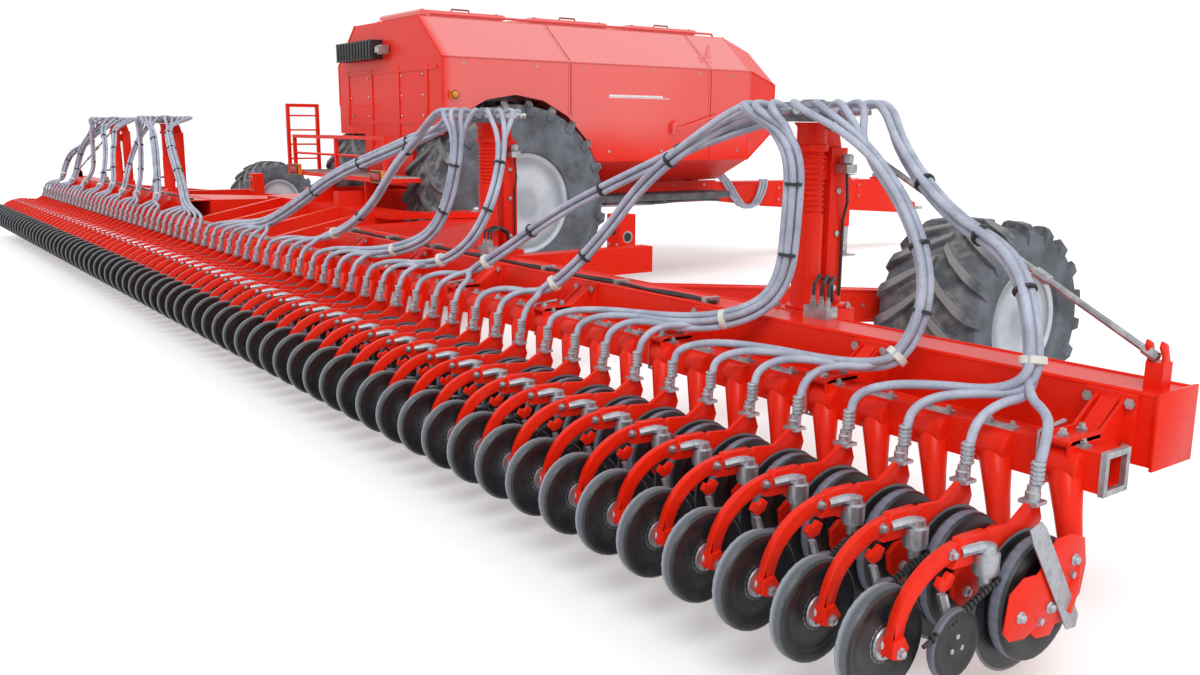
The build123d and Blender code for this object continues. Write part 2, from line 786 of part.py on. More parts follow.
# Rear platform on two posts, with its handrail and the ladder's rail
with BuildPart() as platform:
    platform_y = (tip_line + platform_ahead[0], tip_line + platform_ahead[1])
    rail_half = handrail_size / 2
    back_y = (platform_y[0], platform_y[0] + handrail_size)
    box((-platform_half_width, platform_half_width), platform_y,
        (platform_height - platform_thickness, platform_height))
    for x in (-platform_half_width + rail_half, 0, platform_half_width - rail_half):
        box((x - rail_half, x + rail_half), back_y, (platform_height, handrail_height))
    box((-platform_half_width, platform_half_width), back_y,
        (handrail_height - handrail_size, handrail_height))
    for side in (1, -1):
        x = side * (rail_x + rail_width)
        box((x - rail_half, x + rail_half), (carrier_y1 - handrail_size, carrier_y1 + 2 * handrail_size),
            (lug_top + lug_thickness, platform_height - platform_thickness))
    box((ladder_rail_x, -platform_half_width), (platform_y[0], platform_y[1]),
        (platform_height - platform_thickness, platform_height))
    for y in (platform_y[0], platform_y[1] - handrail_size):
        box((ladder_rail_x, ladder_rail_x + handrail_size), (y, y + handrail_size),
            (platform_height - platform_thickness, ladder_rail_top))
    box((ladder_rail_x, ladder_rail_x + handrail_size), platform_y,
        (ladder_rail_top - handrail_size, ladder_rail_top))
save(platform, "rear_platform")

rear_y = tip_line + hopper_rear_ahead
with BuildPart() as intake:
    intake_base = hopper_fold_height + handrail_size
    box(intake_x, (rear_y - intake_depth, rear_y), (intake_base, intake_base + intake_height))
save(intake, "air_intake")

with BuildPart() as lamps:
    for side in (1, -1):
        lamp_x = (side * hopper_half_width, side * (hopper_half_width + lamp_depth))
        lamp_base = hopper_fold_height - 5 * lamp_size
        box(lamp_x, (rear_y + lamp_size, rear_y + 2 * lamp_size), (lamp_base, lamp_base + lamp_size))
        end_x = (side * (platform_half_width - 3 * lamp_size), side * platform_half_width)
        box(end_x, (platform_y[0] - lamp_depth, platform_y[0]),
            (platform_height - platform_thickness, platform_height + lamp_size))
save(lamps, "lamps")

with BuildPart() as pipes:
    pipe_height = rail_top - pipe_below_rail
    for side in (1, -1):
        for x in pipe_places:
            pipe_end = (side * x, tip_line + pipe_ahead[0], pipe_height)
            with BuildSketch(Plane(origin=pipe_end, z_dir=(0, 1, 0))):
                RegularPolygon(pipe_radius, 8)
            extrude(amount=pipe_ahead[1] - pipe_ahead[0])
        for ahead in pipe_plates:
            y = tip_line + ahead
            box((side * (rail_x + rail_width / 2), side * (pipe_places[-1] + pipe_radius)),
                (y - rail_half, y + rail_half),
                (pipe_height - pipe_radius / 2, pipe_height + pipe_radius / 2))
save(pipes, "air_pipes")
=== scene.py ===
from math import cos, pi, radians, sin

import bmesh
import bpy
from mathutils import Matrix, Vector


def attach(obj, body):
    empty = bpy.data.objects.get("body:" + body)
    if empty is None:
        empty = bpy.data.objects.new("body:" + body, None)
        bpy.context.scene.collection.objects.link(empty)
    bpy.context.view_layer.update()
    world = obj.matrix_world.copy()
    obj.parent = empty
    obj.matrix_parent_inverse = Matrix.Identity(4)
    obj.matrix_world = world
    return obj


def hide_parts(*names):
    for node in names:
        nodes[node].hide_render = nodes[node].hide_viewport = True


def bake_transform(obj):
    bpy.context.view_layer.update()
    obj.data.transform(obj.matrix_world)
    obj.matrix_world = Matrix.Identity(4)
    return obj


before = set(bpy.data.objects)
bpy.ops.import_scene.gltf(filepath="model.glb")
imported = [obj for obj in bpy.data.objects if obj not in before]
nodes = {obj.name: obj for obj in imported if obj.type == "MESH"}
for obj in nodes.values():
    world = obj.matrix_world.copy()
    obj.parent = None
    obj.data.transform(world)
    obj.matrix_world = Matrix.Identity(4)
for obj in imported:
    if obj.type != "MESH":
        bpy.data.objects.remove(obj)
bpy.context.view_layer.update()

# Lengths along the drill are counted forward from the line of the closing arms' tips
tipLine = -5.7325
sides = {"right": 1, "left": -1}
marks = {"right": "Right", "left": "Left", "centre": "Centre"}


def ahead(distance):
    return tipLine + distance


print("frame loaded")


# Shader and geometry nodes written as Python expressions
class Wire:
    def __init__(self, tree, socket=None):
        self.tree = tree
        self.socket = socket

    def make(self, kind, settings=None, inputs=None, out=0):
        node = self.tree.nodes.new(kind)
        for name, value in (settings or {}).items():
            setattr(node, name, value)
        for name, value in (inputs or {}).items():
            if isinstance(value, Wire):
                self.tree.links.new(value.socket, node.inputs[name])
            else:
                node.inputs[name].default_value = value
        return Wire(self.tree, node.outputs[out])

    def maths(self, operation, first, second=0.0):
        return self.make("ShaderNodeMath", {"operation": operation}, {0: first, 1: second})

    def __add__(self, other):
        return self.maths("ADD", self, other)

    def __radd__(self, other):
        return self.maths("ADD", other, self)

    def __sub__(self, other):
        return self.maths("SUBTRACT", self, other)

    def __rsub__(self, other):
        return self.maths("SUBTRACT", other, self)

    def __mul__(self, other):
        return self.maths("MULTIPLY", self, other)

    def __rmul__(self, other):
        return self.maths("MULTIPLY", other, self)

    def outputs(self):
        return {socket.name: Wire(self.tree, socket) for socket in self.socket.node.outputs}

    def smooth(self, low, high):
        return self.make("ShaderNodeMapRange", {"interpolation_type": "SMOOTHSTEP"},
                {"Value": self, "From Min": low, "From Max": high})


# A new material: its shader, and noise, blends and bumps in object coordinates
class Finish(Wire):
    def __init__(self, name, **fixed):
        self.material = bpy.data.materials.new(name)
        self.material.use_nodes = True
        super().__init__(self.material.node_tree)
        self.shader = self.tree.nodes["Principled BSDF"]
        for label, value in fixed.items():
            self.shader.inputs[label.replace("_", " ")].default_value = value
        self.coords = self.make("ShaderNodeTexCoord", out=3)

    def noise(self, scale, detail=4.0, rough=0.55):
        inputs = {"Vector": self.coords, "Scale": scale, "Detail": detail, "Roughness": rough}
        return self.make("ShaderNodeTexNoise", {}, inputs)

    def blend(self, mask, first, second):
        return self.make("ShaderNodeMix", {"data_type": "RGBA"}, {0: mask, 6: first, 7: second}, 2)

    def bump(self, height, strength, distance):
        return self.make("ShaderNodeBump", {}, {"Height": height, "Strength": strength, "Distance": distance})

    def axes(self):
        return tuple(self.make("ShaderNodeSeparateXYZ", {}, {0: self.coords}).outputs().values())

    def hubDistance(self, hub):
        y, z = self.axes()[1:]
        across, up = y - hub[0], z - hub[1]
        return self.maths("SQRT", across * across + up * up)

    def done(self, **values):
        for label, value in values.items():
            self.tree.links.new(value.socket, self.shader.inputs[label.replace("_", " ")])
        return self.material


# Row units, each built at X 0 and repeated across its section
rowSettings = {
    "pitch": 0.25,
    "last": 8.875,
    "sections": {"right": (29, 1.875, "wing_right"), "centre": (14, -1.625, "chassis"),
                 "left": (29, -8.875, "wing_left")},
    "discHub": (0.54, 0.365),
    "gaugeHub": (0.54, 0.39),
    "closingHub": (-0.03, 0.37),
    "pressHub": (0.185, 0.335),
}


# Finishes
paintSettings = {
    "red": (0.8, 0.017, 0.004, 1),
    "faded": (0.84, 0.03, 0.012, 1),
    "shade": (0.58, 0.009, 0.003, 1),
    # painted sheen and painted sky reflection for the hopper's panels
    "paintedSheen": (0.76, 0.065, 0.055, 1),
    "paintedSkyReflection": (0.8, 0.19, 0.19, 1),
    "dust": (0.42, 0.33, 0.26, 1),
}


def redPaint():
    f = Finish("redPaint", Coat_Roughness=0.2, Specular_IOR_Level=0.12)
    z = f.axes()[2]
    cloud = f.noise(0.9, 5.0)
    fine = f.noise(38.0, 3.0)
    colour = f.blend(cloud.smooth(0.35, 0.7), paintSettings["red"], paintSettings["faded"])
    colour = f.blend(fine.smooth(0.45, 0.8) * 0.35, colour, paintSettings["shade"])
    low = 1 - z.smooth(0.15, 0.75)
    grime = f.noise(7.0, 6.0, 0.7).smooth(0.52, 0.75)
    colour = f.blend(grime * low * 0.22, colour, paintSettings["dust"])
    return f.done(Base_Color=colour, Roughness=0.24 + cloud * 0.12 + grime * low * 0.25,
            Coat_Weight=0.06 - grime * low * 0.05, Normal=f.bump(f.noise(210.0, 2.0), 0.05, 0.001))


def tankPaint():
    # glossy panels above the tyres' height with a pinkish painted sheen, a painted sky reflection on the roof's slope,
    # plain red below and on the ends, with painted shade under the panels' lower edge
    f = Finish("tankPaint", Coat_Roughness=0.1, Coat_IOR=1.8, Specular_IOR_Level=0.2)
    y, z = f.axes()[1:]
    cloud = f.noise(0.55, 3.0)
    streaks = f.noise(26.0, 2.0)
    # upper panels: a glossier coat, and the mask of the painted sheen
    glossAndPaintedSheen = (z + cloud * 0.6).smooth(1.72, 2.25)
    glossAndPaintedSheen = glossAndPaintedSheen * y.smooth(ahead(2.6), ahead(2.75)) * (1 - y.smooth(ahead(6.66), ahead(6.72)))
    slope = z.smooth(2.45, 2.47) * (1 - z.smooth(2.85, 2.868))
    # pinkish painted sheen on the upper panels
    colour = f.blend(glossAndPaintedSheen * 0.8, paintSettings["red"], paintSettings["paintedSheen"])
    # lighter painted sky reflection on the roof's slope
    colour = f.blend(glossAndPaintedSheen * slope * 0.85, colour, paintSettings["paintedSkyReflection"])
    # painted shade under the panels' lower edge
    colour = f.blend(1 - z.smooth(1.36, 1.5), colour, paintSettings["shade"])
    colour = f.blend(streaks.smooth(0.5, 0.8) * 0.12, colour, paintSettings["shade"])
    return f.done(Base_Color=colour, Roughness=0.34 - glossAndPaintedSheen * 0.12, Coat_Weight=0.05 + glossAndPaintedSheen * 0.75,
            Normal=f.bump(cloud, 0.02, 0.01))


def plainFinish(name, light, dark, rough, scale, metallic=0.0):
    f = Finish(name, Metallic=metallic)
    cloud = f.noise(scale, 5.0)
    colour = f.blend(cloud.smooth(0.3, 0.72), dark, light)
    fine = f.noise(scale * 9, 3.0)
    return f.done(Base_Color=colour, Roughness=rough + fine * 0.16, Normal=f.bump(fine, 0.1, 0.001))


def galvanisedFinish():
    f = Finish("galvanised", Metallic=0.85)
    spangle = f.make("ShaderNodeTexVoronoi", {}, {"Vector": f.coords, "Scale": 150.0})
    cloud = f.noise(30.0, 4.0)
    colour = f.blend(spangle.smooth(0.1, 0.7), (0.42, 0.44, 0.48, 1), (0.52, 0.54, 0.58, 1))
    colour = f.blend(cloud.smooth(0.45, 0.75) * 0.6, colour, (0.26, 0.27, 0.3, 1))
    return f.done(Base_Color=colour, Roughness=0.28 + cloud * 0.18, Normal=f.bump(f.noise(120.0), 0.08, 0.001))


def wheelFinish(name, hub, edge, rim, face, rough, pale=None):
    # rim colour outside the radius called edge, face colour inside it; pale is where the tread's stripe of painted sky
    # reflection ends, as a share of the row pitch
    f = Finish(name)
    radius = f.hubDistance(hub)
    cloud = f.noise(17.0, 5.0)
    dark = f.blend(cloud.smooth(0.4, 0.75), face, tuple(min(1, c * 2.1) for c in face[:3]) + (1,))
    if pale:
        across = f.maths("FRACT", f.axes()[0] * (1 / rowSettings["pitch"]) + 0.5)
        # a stripe of painted sky reflection across the tread, darker rim colour beyond it
        rim = f.blend(across.smooth(pale[0], pale[1]), rim, tuple(c * 0.22 for c in rim[:3]) + (1,))
    colour = f.blend(radius.smooth(edge - 0.004, edge), dark, rim)
    rings = f.maths("SINE", radius * 520.0)
    return f.done(Base_Color=colour, Roughness=rough + cloud * 0.2, Normal=f.bump(rings, 0.12, 0.001))


def rimFinish(name, hub, edge):
    # pale flange, painted shade in the well behind it, pale dish and a middle darkened by painted shade
    f = Finish(name, Metallic=0.1)
    radius = f.hubDistance(hub)
    cloud = f.noise(3.5, 5.0)
    dust = f.noise(30.0, 4.0)
    colour = f.blend(cloud.smooth(0.3, 0.7), (0.4, 0.43, 0.49, 1), (0.56, 0.59, 0.64, 1))
    # painted shade in the well behind the flange
    well = radius.smooth(edge * 0.62, edge * 0.88) * (1 - radius.smooth(edge * 0.9, edge * 0.94))
    colour = f.blend(well * 0.62, colour, (0.14, 0.15, 0.17, 1))
    # painted shade in the middle deepens the dish
    middle = 1 - radius.smooth(edge * 0.22, edge * 0.42)
    colour = f.blend(middle * 0.45, colour, (0.2, 0.21, 0.24, 1))
    colour = f.blend(dust.smooth(0.5, 0.75) * 0.25, colour, (0.34, 0.31, 0.27, 1))
    return f.done(Base_Color=colour, Roughness=0.34 + dust * 0.2, Normal=f.bump(dust, 0.08, 0.001))


def tyreFinish(name, hub, radius, crownHighlight):
    # grey-blue rubber, with dry soil on the lugs' flanks and in the grooves, a painted highlight on the lug tops and
    # painted shade deep in the grooves
    f = Finish(name)
    reach = f.hubDistance(hub)
    cloud = f.noise(4.5, 6.0, 0.65)
    grit = f.noise(90.0, 4.0, 0.7)
    rubber = f.blend(cloud.smooth(0.3, 0.75), (0.06, 0.066, 0.078, 1), (0.15, 0.165, 0.195, 1))
    groove = 1 - reach.smooth(radius - 0.035, radius - 0.012)
    soil = reach.smooth(radius * 0.88, radius * 0.95) * groove * f.noise(9.0, 5.0).smooth(0.4, 0.66)
    colour = f.blend(soil * 0.45, rubber, (0.4, 0.38, 0.34, 1))
    # painted highlight: lug tops lighter, as if lit from above
    crown = reach.smooth(radius - 0.016, radius - 0.005)
    colour = f.blend(crown * crownHighlight, colour, (0.3, 0.3, 0.29, 1))
    # painted shade deep in the grooves
    shaded = groove * reach.smooth(radius * 0.9, radius * 0.95) * (1 - soil) * 0.5
    colour = f.blend(shaded, colour, (0.035, 0.037, 0.042, 1))
    return f.done(Base_Color=colour, Roughness=0.62 + grit * 0.3 + soil * 0.1, Normal=f.bump(grit + cloud, 0.35, 0.003))


def hoseFinish(name, light, dark):
    # grey plastic with dusty streaks
    f = Finish(name)
    cloud = f.noise(8.0, 4.0)
    streak = f.noise(60.0, 3.0)
    colour = f.blend(cloud.smooth(0.3, 0.7), dark, light)
    colour = f.blend(streak.smooth(0.5, 0.75) * 0.35, colour, (0.16, 0.18, 0.22, 1))
    return f.done(Base_Color=colour, Roughness=0.38 + cloud * 0.14, Normal=f.bump(streak, 0.15, 0.001))


def hubOf(label):
    y, z = rowSettings[label]
    return ahead(y), z


mainHub, wingHub = (ahead(3.45), 1.03), (ahead(3.62), 0.62)
# light, dark, roughness, scale of the cloud, metallic
plainSettings = {
    "redShade": ((0.4, 0.01, 0.006, 1), (0.26, 0.006, 0.004, 1), 0.42, 22.0),
    # black rubber, also used for dark discs of painted shade in the support blocks' holes
    "blackRubberAndHoleShade": ((0.035, 0.036, 0.04, 1), (0.012, 0.012, 0.014, 1), 0.48, 30.0),
    "darkSteel": ((0.26, 0.28, 0.32, 1), (0.13, 0.14, 0.16, 1), 0.4, 26.0, 0.7),
    "steel": ((0.55, 0.56, 0.58, 1), (0.3, 0.31, 0.33, 1), 0.34, 18.0, 0.8),
    "blackPlastic": ((0.03, 0.031, 0.034, 1), (0.014, 0.014, 0.015, 1), 0.42, 25.0),
    "creamPlastic": ((0.78, 0.77, 0.7, 1), (0.62, 0.61, 0.55, 1), 0.45, 30.0),
    "stripeWhite": ((0.8, 0.81, 0.82, 1), (0.7, 0.71, 0.73, 1), 0.34, 12.0),
    "amberLens": ((0.85, 0.3, 0.02, 1), (0.7, 0.2, 0.01, 1), 0.16, 60.0),
    "redLens": ((0.55, 0.01, 0.01, 1), (0.38, 0.006, 0.006, 1), 0.16, 60.0),
}
# hub, the face's radius, colours of rim and face, roughness
discSettings = {
    "seedDisc": ("discHub", 0.222, (0.13, 0.14, 0.16, 1), (0.017, 0.017, 0.019, 1), 0.3),
    # gauge wheel tread: dark rubber with a bluish painted sky reflection
    "gaugeWheel": ("gaugeHub", 0.197, (0.165, 0.18, 0.235, 1), (0.014, 0.014, 0.016, 1), 0.34),
    # closing wheel tread: a pale stripe of painted sky reflection
    "closingWheel": ("closingHub", 0.164, (0.42, 0.46, 0.54, 1), (0.016, 0.016, 0.018, 1), 0.3, (0.73, 0.85)),
    "pressWheel": ("pressHub", 0.104, (0.13, 0.14, 0.17, 1), (0.012, 0.012, 0.014, 1), 0.36),
}
finishes = {name: plainFinish(name, *values) for name, values in plainSettings.items()}
finishes.update({name: wheelFinish(name, hubOf(values[0]), *values[1:]) for name, values in discSettings.items()})
finishes.update({
    "redPaint": redPaint(),
    "tankPaint": tankPaint(),
    "galvanised": galvanisedFinish(),
    "mainRim": rimFinish("mainRim", mainHub, 0.5),
    "wingRim": rimFinish("wingRim", wingHub, 0.33),
    # last number: strength of the painted highlight on the lug tops
    "mainTyre": tyreFinish("mainTyre", mainHub, 1.03, 0.25),
    "wingTyre": tyreFinish("wingTyre", wingHub, 0.62, 0.65),
    "hose": hoseFinish("hose", (0.47, 0.51, 0.62, 1), (0.32, 0.35, 0.44, 1)),
    "darkHose": hoseFinish("darkHose", (0.12, 0.13, 0.15, 1), (0.05, 0.055, 0.065, 1)),
})
print("finishes made")

sharpAngle = radians(38)

# Bolts and nuts as places along their axis and radii
bolts = {
    "collar": ((0.0, 0.019), (0.004, 0.019), (0.005, 0.013), (0.016, 0.012), (0.018, 0.008)),
    "endUnit": ((0.0, 0.021), (0.004, 0.021), (0.005, 0.015), (0.015, 0.014), (0.017, 0.009)),
    "tiny": ((0.0, 0.009), (0.006, 0.009), (0.007, 0.005)),
    "panel": ((0.0, 0.016), (0.006, 0.016), (0.008, 0.011), (0.014, 0.01)),
    "button": ((0.0, 0.012), (0.005, 0.012), (0.006, 0.008)),
    "rearWall": ((0.0, 0.008), (0.006, 0.013), (0.007, 0.013), (0.012, 0.009)),
    "bracket": ((0.0, 0.008), (0.01, 0.013), (0.012, 0.019), (0.016, 0.019)),
    "stud": ((0.0, 0.019), (0.012, 0.019), (0.014, 0.012), (0.026, 0.011)),
    "arm": ((0.0, 0.013), (0.009, 0.013), (0.01, 0.008), (0.018, 0.007)),
    "coupling": ((0.0, 0.013), (0.022, 0.013), (0.026, 0.009), (0.045, 0.009)),
    "post": ((0.0, 0.015), (0.01, 0.015), (0.012, 0.009)),
    "flange": ((0.0, 0.017), (0.012, 0.017), (0.014, 0.01), (0.024, 0.01)),
    "block": ((0.0, 0.014), (0.009, 0.014), (0.011, 0.009)),
    "drawbar": ((0.0, 0.015), (0.009, 0.015), (0.011, 0.009)),
    "eye": ((0.0, 0.018), (0.012, 0.018), (0.014, 0.011), (0.022, 0.011)),
    "cover": ((0.0, 0.01), (0.007, 0.01), (0.009, 0.006)),
    "axle": ((0.0, 0.055), (0.012, 0.055), (0.016, 0.034), (0.034, 0.032)),
    "armSide": ((0.0, 0.012), (0.008, 0.012), (0.01, 0.007)),
}


def newObject(name, data):
    thing = bpy.data.objects.new(name, data)
    bpy.context.scene.collection.objects.link(thing)
    return thing


# Mesh building: rings of points skinned into closed forms. Points are across, ahead of the base line, and up
class Shape:
    def __init__(self, base=tipLine):
        self.base = base
        self.points = []
        self.faces = []

    def ring(self, points):
        start = len(self.points)
        self.points.extend((x, self.base + y, z) for x, y, z in points)
        return list(range(start, start + len(points)))

    def skin(self, rings):
        for near, far in zip(rings, rings[1:]):
            for i in range(len(near)):
                j = (i + 1) % len(near)
                self.faces.append((near[i], near[j], far[j], far[i]))
        self.faces.append(tuple(reversed(rings[0])))
        self.faces.append(tuple(rings[-1]))

    def slab(self, low, high):
        (x0, y0, z0), (x1, y1, z1) = low, high
        x0, x1 = sorted((x0, x1))
        rings = [self.ring([(x0, y0, z), (x1, y0, z), (x1, y1, z), (x0, y1, z)]) for z in (z0, z1)]
        self.skin(rings)

    def plate(self, outline, x0, x1):
        self.skin([self.ring([(x, y, z) for y, z in outline]) for x in (x0, x1)])

    def tube(self, path, radii, count=10, flat=1.0):
        path = [Vector(p) for p in path]
        radii = radii if isinstance(radii, (list, tuple)) else [radii] * len(path)
        rings = []
        side = None
        for i, point in enumerate(path):
            along = (path[min(i + 1, len(path) - 1)] - path[max(i - 1, 0)]).normalized()
            if side is None:
                side = along.cross(Vector((0, 0, 1)) if abs(along.z) < 0.9 else Vector((1, 0, 0))).normalized()
            side = (side - along * side.dot(along)).normalized()
            up = along.cross(side)
            rings.append(self.ring([
                point + (side * cos(2 * pi * k / count) + up * flat * sin(2 * pi * k / count)) * radii[i]
                for k in range(count)
            ]))
        self.skin(rings)

    def lathe(self, profile, centre, axis="X", count=32):
        # profile lists places along the axis and radii, from one end to the other
        order = {"X": (0, 1, 2), "Y": (2, 0, 1), "Z": (2, 1, 0)}[axis]
        rings = []
        for along, radius in profile:
            ring = []
            for k in range(count):
                a = 2 * pi * k / count
                parts = (along, radius * sin(a), radius * cos(a))
                ring.append([middle + parts[i] for middle, i in zip(centre, order)])
            rings.append(self.ring(ring))
        self.skin(rings)

    def bolt(self, kind, centre, axis, turn=1):
        self.lathe([(turn * along, radius) for along, radius in bolts[kind]], centre, axis, 6)

    def build(self, name, finish, edge=0.0):
        mesh = bpy.data.meshes.new(name)
        mesh.from_pydata(self.points, [], self.faces)
        work = bmesh.new()
        work.from_mesh(mesh)
        bmesh.ops.recalc_face_normals(work, faces=work.faces)
        work.to_mesh(mesh)
        work.free()
        piece = newObject(name, mesh)
        mesh.materials.append(finishes[finish])
        if edge:
            bevel = piece.modifiers.new("edges", "BEVEL")
            bevel.width = edge
            bevel.segments = 2
            bevel.limit_method = "ANGLE"
            bevel.angle_limit = radians(40)
            piece = settle(piece, name)
        return shadeEdges(piece)


def shadeEdges(piece):
    piece.data.shade_smooth()
    piece.data.set_sharp_from_angle(angle=sharpAngle)
    return piece


def settle(piece, name):
    # the evaluated piece as a plain mesh object with no modifiers
    graph = bpy.context.evaluated_depsgraph_get()
    mesh = bpy.data.meshes.new_from_object(piece.evaluated_get(graph), depsgraph=graph)
    bpy.data.objects.remove(piece)
    mesh.name = name
    return newObject(name, mesh)


def place(piece, body, replaced=()):
    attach(piece, body)
    for node in replaced:
        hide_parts(node)
    return piece


def mount(shape, name, finish, body, edge=0.0, replaced=()):
    return place(shape.build(name, finish, edge), body, replaced)


# Geometry Nodes: copies from a start by one offset after another, each turned a step farther about an axis
def copiesTree():
    tree = bpy.data.node_groups.new("copies", "GeometryNodeTree")
    kinds = {"Geometry": "Geometry", "Count": "Int", "Start": "Vector", "Offset": "Vector", "Axis": "Vector",
            "First": "Float", "Step": "Float", "Finish": "Material"}
    sockets = {}
    for label, kind in kinds.items():
        sockets[label] = tree.interface.new_socket(label, in_out="INPUT", socket_type="NodeSocket" + kind)
    tree.interface.new_socket("Geometry", in_out="OUTPUT", socket_type="NodeSocketGeometry")
    start, end = tree.nodes.new("NodeGroupInput"), tree.nodes.new("NodeGroupOutput")
    wire = Wire(tree)
    source = {label: Wire(tree, start.outputs[label]) for label in kinds}
    line = wire.make("GeometryNodeMeshLine", {"mode": "OFFSET"},
            {"Count": source["Count"], "Start Location": source["Start"], "Offset": source["Offset"]})
    turn = source["First"] + wire.make("GeometryNodeInputIndex") * source["Step"]
    rotation = wire.make("ShaderNodeVectorMath", {"operation": "SCALE"}, {0: source["Axis"], "Scale": turn})
    copies = wire.make("GeometryNodeInstanceOnPoints", {},
            {"Points": line, "Instance": source["Geometry"], "Rotation": rotation})
    real = wire.make("GeometryNodeRealizeInstances", {}, {"Geometry": copies})
    done = wire.make("GeometryNodeSetMaterial", {}, {"Geometry": real, "Material": source["Finish"]})
    tree.links.new(done.socket, end.inputs[0])
    return tree, sockets


copies, copySockets = copiesTree()


def repeat(piece, name, finish, **values):
    modifier = piece.modifiers.new("repeat", "NODES")
    modifier.node_group = copies
    for label, value in dict(values, Finish=finishes[finish]).items():
        modifier[copySockets[label].identifier] = value
    return settle(piece, name)


def acrossDrill(piece, name, finish, count, pitch, first):
    return repeat(piece, name, finish, Count=count, Start=(first, 0.0, 0.0), Offset=(pitch, 0.0, 0.0))


def roundAxle(piece, name, finish, centre, count=1, first=0.0):
    return repeat(piece, name, finish, Count=count, Start=centre, Axis=(1.0, 0.0, 0.0), First=first,
            Step=2 * pi / count)


def join(pieces, name):
    # several plain meshes as one
    work = bmesh.new()
    for piece in pieces:
        work.from_mesh(piece.data)
    mesh = bpy.data.meshes.new(name)
    work.to_mesh(mesh)
    work.free()
    for material in pieces[0].data.materials:
        mesh.materials.append(material)
    for piece in pieces:
        bpy.data.objects.remove(piece)
    return newObject(name, mesh)


# Row units
def armShape():
    # drag arm from the tube, its foot bracket, and the curved closing arm
    shape = Shape()
    arm = [(0.0, 0.8, 0.74), (0.016, 0.765, 0.7), (0.05, 0.735, 0.61), (0.088, 0.705, 0.5),
            (0.108, 0.672, 0.4), (0.112, 0.64, 0.335)]
    shape.tube(arm, [0.056, 0.052, 0.042, 0.034, 0.031, 0.029], 12, 0.9)
    shape.lathe([(-0.058, 0.046), (-0.052, 0.062), (0.052, 0.062), (0.058, 0.046)], (0.0, 0.8, 0.742), "X", 12)
    bracket = [(0.44, 0.335), (0.5, 0.285), (0.575, 0.275), (0.6, 0.305), (0.655, 0.3), (0.69, 0.345),
            (0.7, 0.475), (0.64, 0.535), (0.56, 0.52), (0.545, 0.44), (0.47, 0.43), (0.43, 0.4)]
    shape.plate(bracket, 0.1, 0.118)
    shape.plate(((0.47, 0.44), (0.55, 0.45), (0.545, 0.475), (0.49, 0.475)), 0.088, 0.112)
    # arc: a curved plate from the boot to the closing wheel's hub
    count = 13
    outer, inner = [], []
    for i in range(count):
        t = i / (count - 1)
        a = radians(8 + 88 * t)
        for edge, reach, rise, drop in ((outer, 0.318, 0.262, 0.2), (inner, 0.271, 0.212, 0.1)):
            edge.append((0.27 - reach * sin(a), 0.36 + (rise * cos(a) ** 0.9 if cos(a) > 0 else drop * cos(a))))
    outline = outer + [(-0.052, 0.352), (-0.008, 0.34)] + inner[::-1]
    shape.plate(outline, -0.014, 0.014)
    shape.plate(((0.2, 0.545), (0.285, 0.54), (0.36, 0.565), (0.37, 0.625), (0.24, 0.628)), -0.016, 0.02)
    # boot between the arc and the hose, and the tab under the spring
    shape.plate(((0.33, 0.56), (0.46, 0.42), (0.58, 0.4), (0.66, 0.6), (0.64, 0.655), (0.585, 0.66), (0.5, 0.61),
            (0.4, 0.62)), -0.012, 0.008)
    shape.plate(((0.125, 0.515), (0.15, 0.49), (0.185, 0.5), (0.2, 0.53), (0.18, 0.545), (0.155, 0.525),
            (0.14, 0.54)), 0.01, 0.03)
    shape.plate(((-0.055, 0.345), (-0.01, 0.33), (0.02, 0.36), (-0.005, 0.4), (-0.05, 0.395)), -0.022, 0.024)
    return shape


def fittingShape():
    # galvanised spring head, hose clamp, bolts and the closing wheel's axle
    shape = Shape()
    x, y = 0.036, 0.335
    shape.lathe([(-0.085, 0.012), (-0.084, 0.02), (-0.05, 0.022), (-0.048, 0.036), (-0.03, 0.04), (0.018, 0.04),
            (0.024, 0.03), (0.044, 0.028), (0.048, 0.014)], (x, y, 0.555), "Z", 14)
    shape.tube([(x - 0.02, 0.235, 0.59), (x, 0.3, 0.598), (x, 0.335, 0.59)], 0.017, 8)
    for by, bz, bx in ((0.5, 0.345, 0.118), (0.6, 0.36, 0.118), (0.655, 0.455, 0.118), (0.2, 0.59, 0.014),
            (-0.02, 0.355, 0.022)):
        shape.bolt("collar", (bx, by, bz), "X")
    shape.lathe([(-0.026, 0.012), (-0.024, 0.022), (0.02, 0.024), (0.024, 0.019), (0.04, 0.019), (0.042, 0.012)],
            (0.0, 0.612, 0.672), "Z", 10)
    shape.slab((-0.032, 0.585, 0.655), (0.032, 0.642, 0.667))
    # coil guard that the hose comes down into
    guard, turns = [(0.0, 0.017)], 5
    for i in range(turns):
        guard += [(0.004 + i * 0.015, 0.0235), (0.01 + i * 0.015, 0.0235), (0.014 + i * 0.015, 0.019)]
    shape.lathe(guard, (0.0, 0.629, 0.712), "Z", 8)
    return shape


def rodShape():
    # black rod with a close wire spring, from the arc's tab to the foot bracket
    shape = Shape()
    start, end = Vector((0.05, 0.045, 0.365)), Vector((0.06, 0.455, 0.52))
    shape.tube([start, start.lerp(end, 0.5), end], 0.007, 6)
    turns = 22
    for i in range(turns):
        a, b = start.lerp(end, 0.08 + 0.86 * i / turns), start.lerp(end, 0.08 + 0.86 * (i + 0.55) / turns)
        shape.tube([a, b], [0.0125, 0.0125], 6)
    return shape


def leverShape():
    # flat silver lever and the side plate's bolts, on the end unit only
    shape = Shape()
    for y, z in ((0.395, 0.385), (0.55, 0.375), (0.665, 0.5)):
        shape.bolt("endUnit", (0.123, y, z), "X")
    shape.plate(((0.395, 0.655), (0.45, 0.672), (0.475, 0.65), (0.7, 0.315), (0.69, 0.275), (0.64, 0.28),
            (0.415, 0.61)), 0.1275, 0.1345)
    return shape


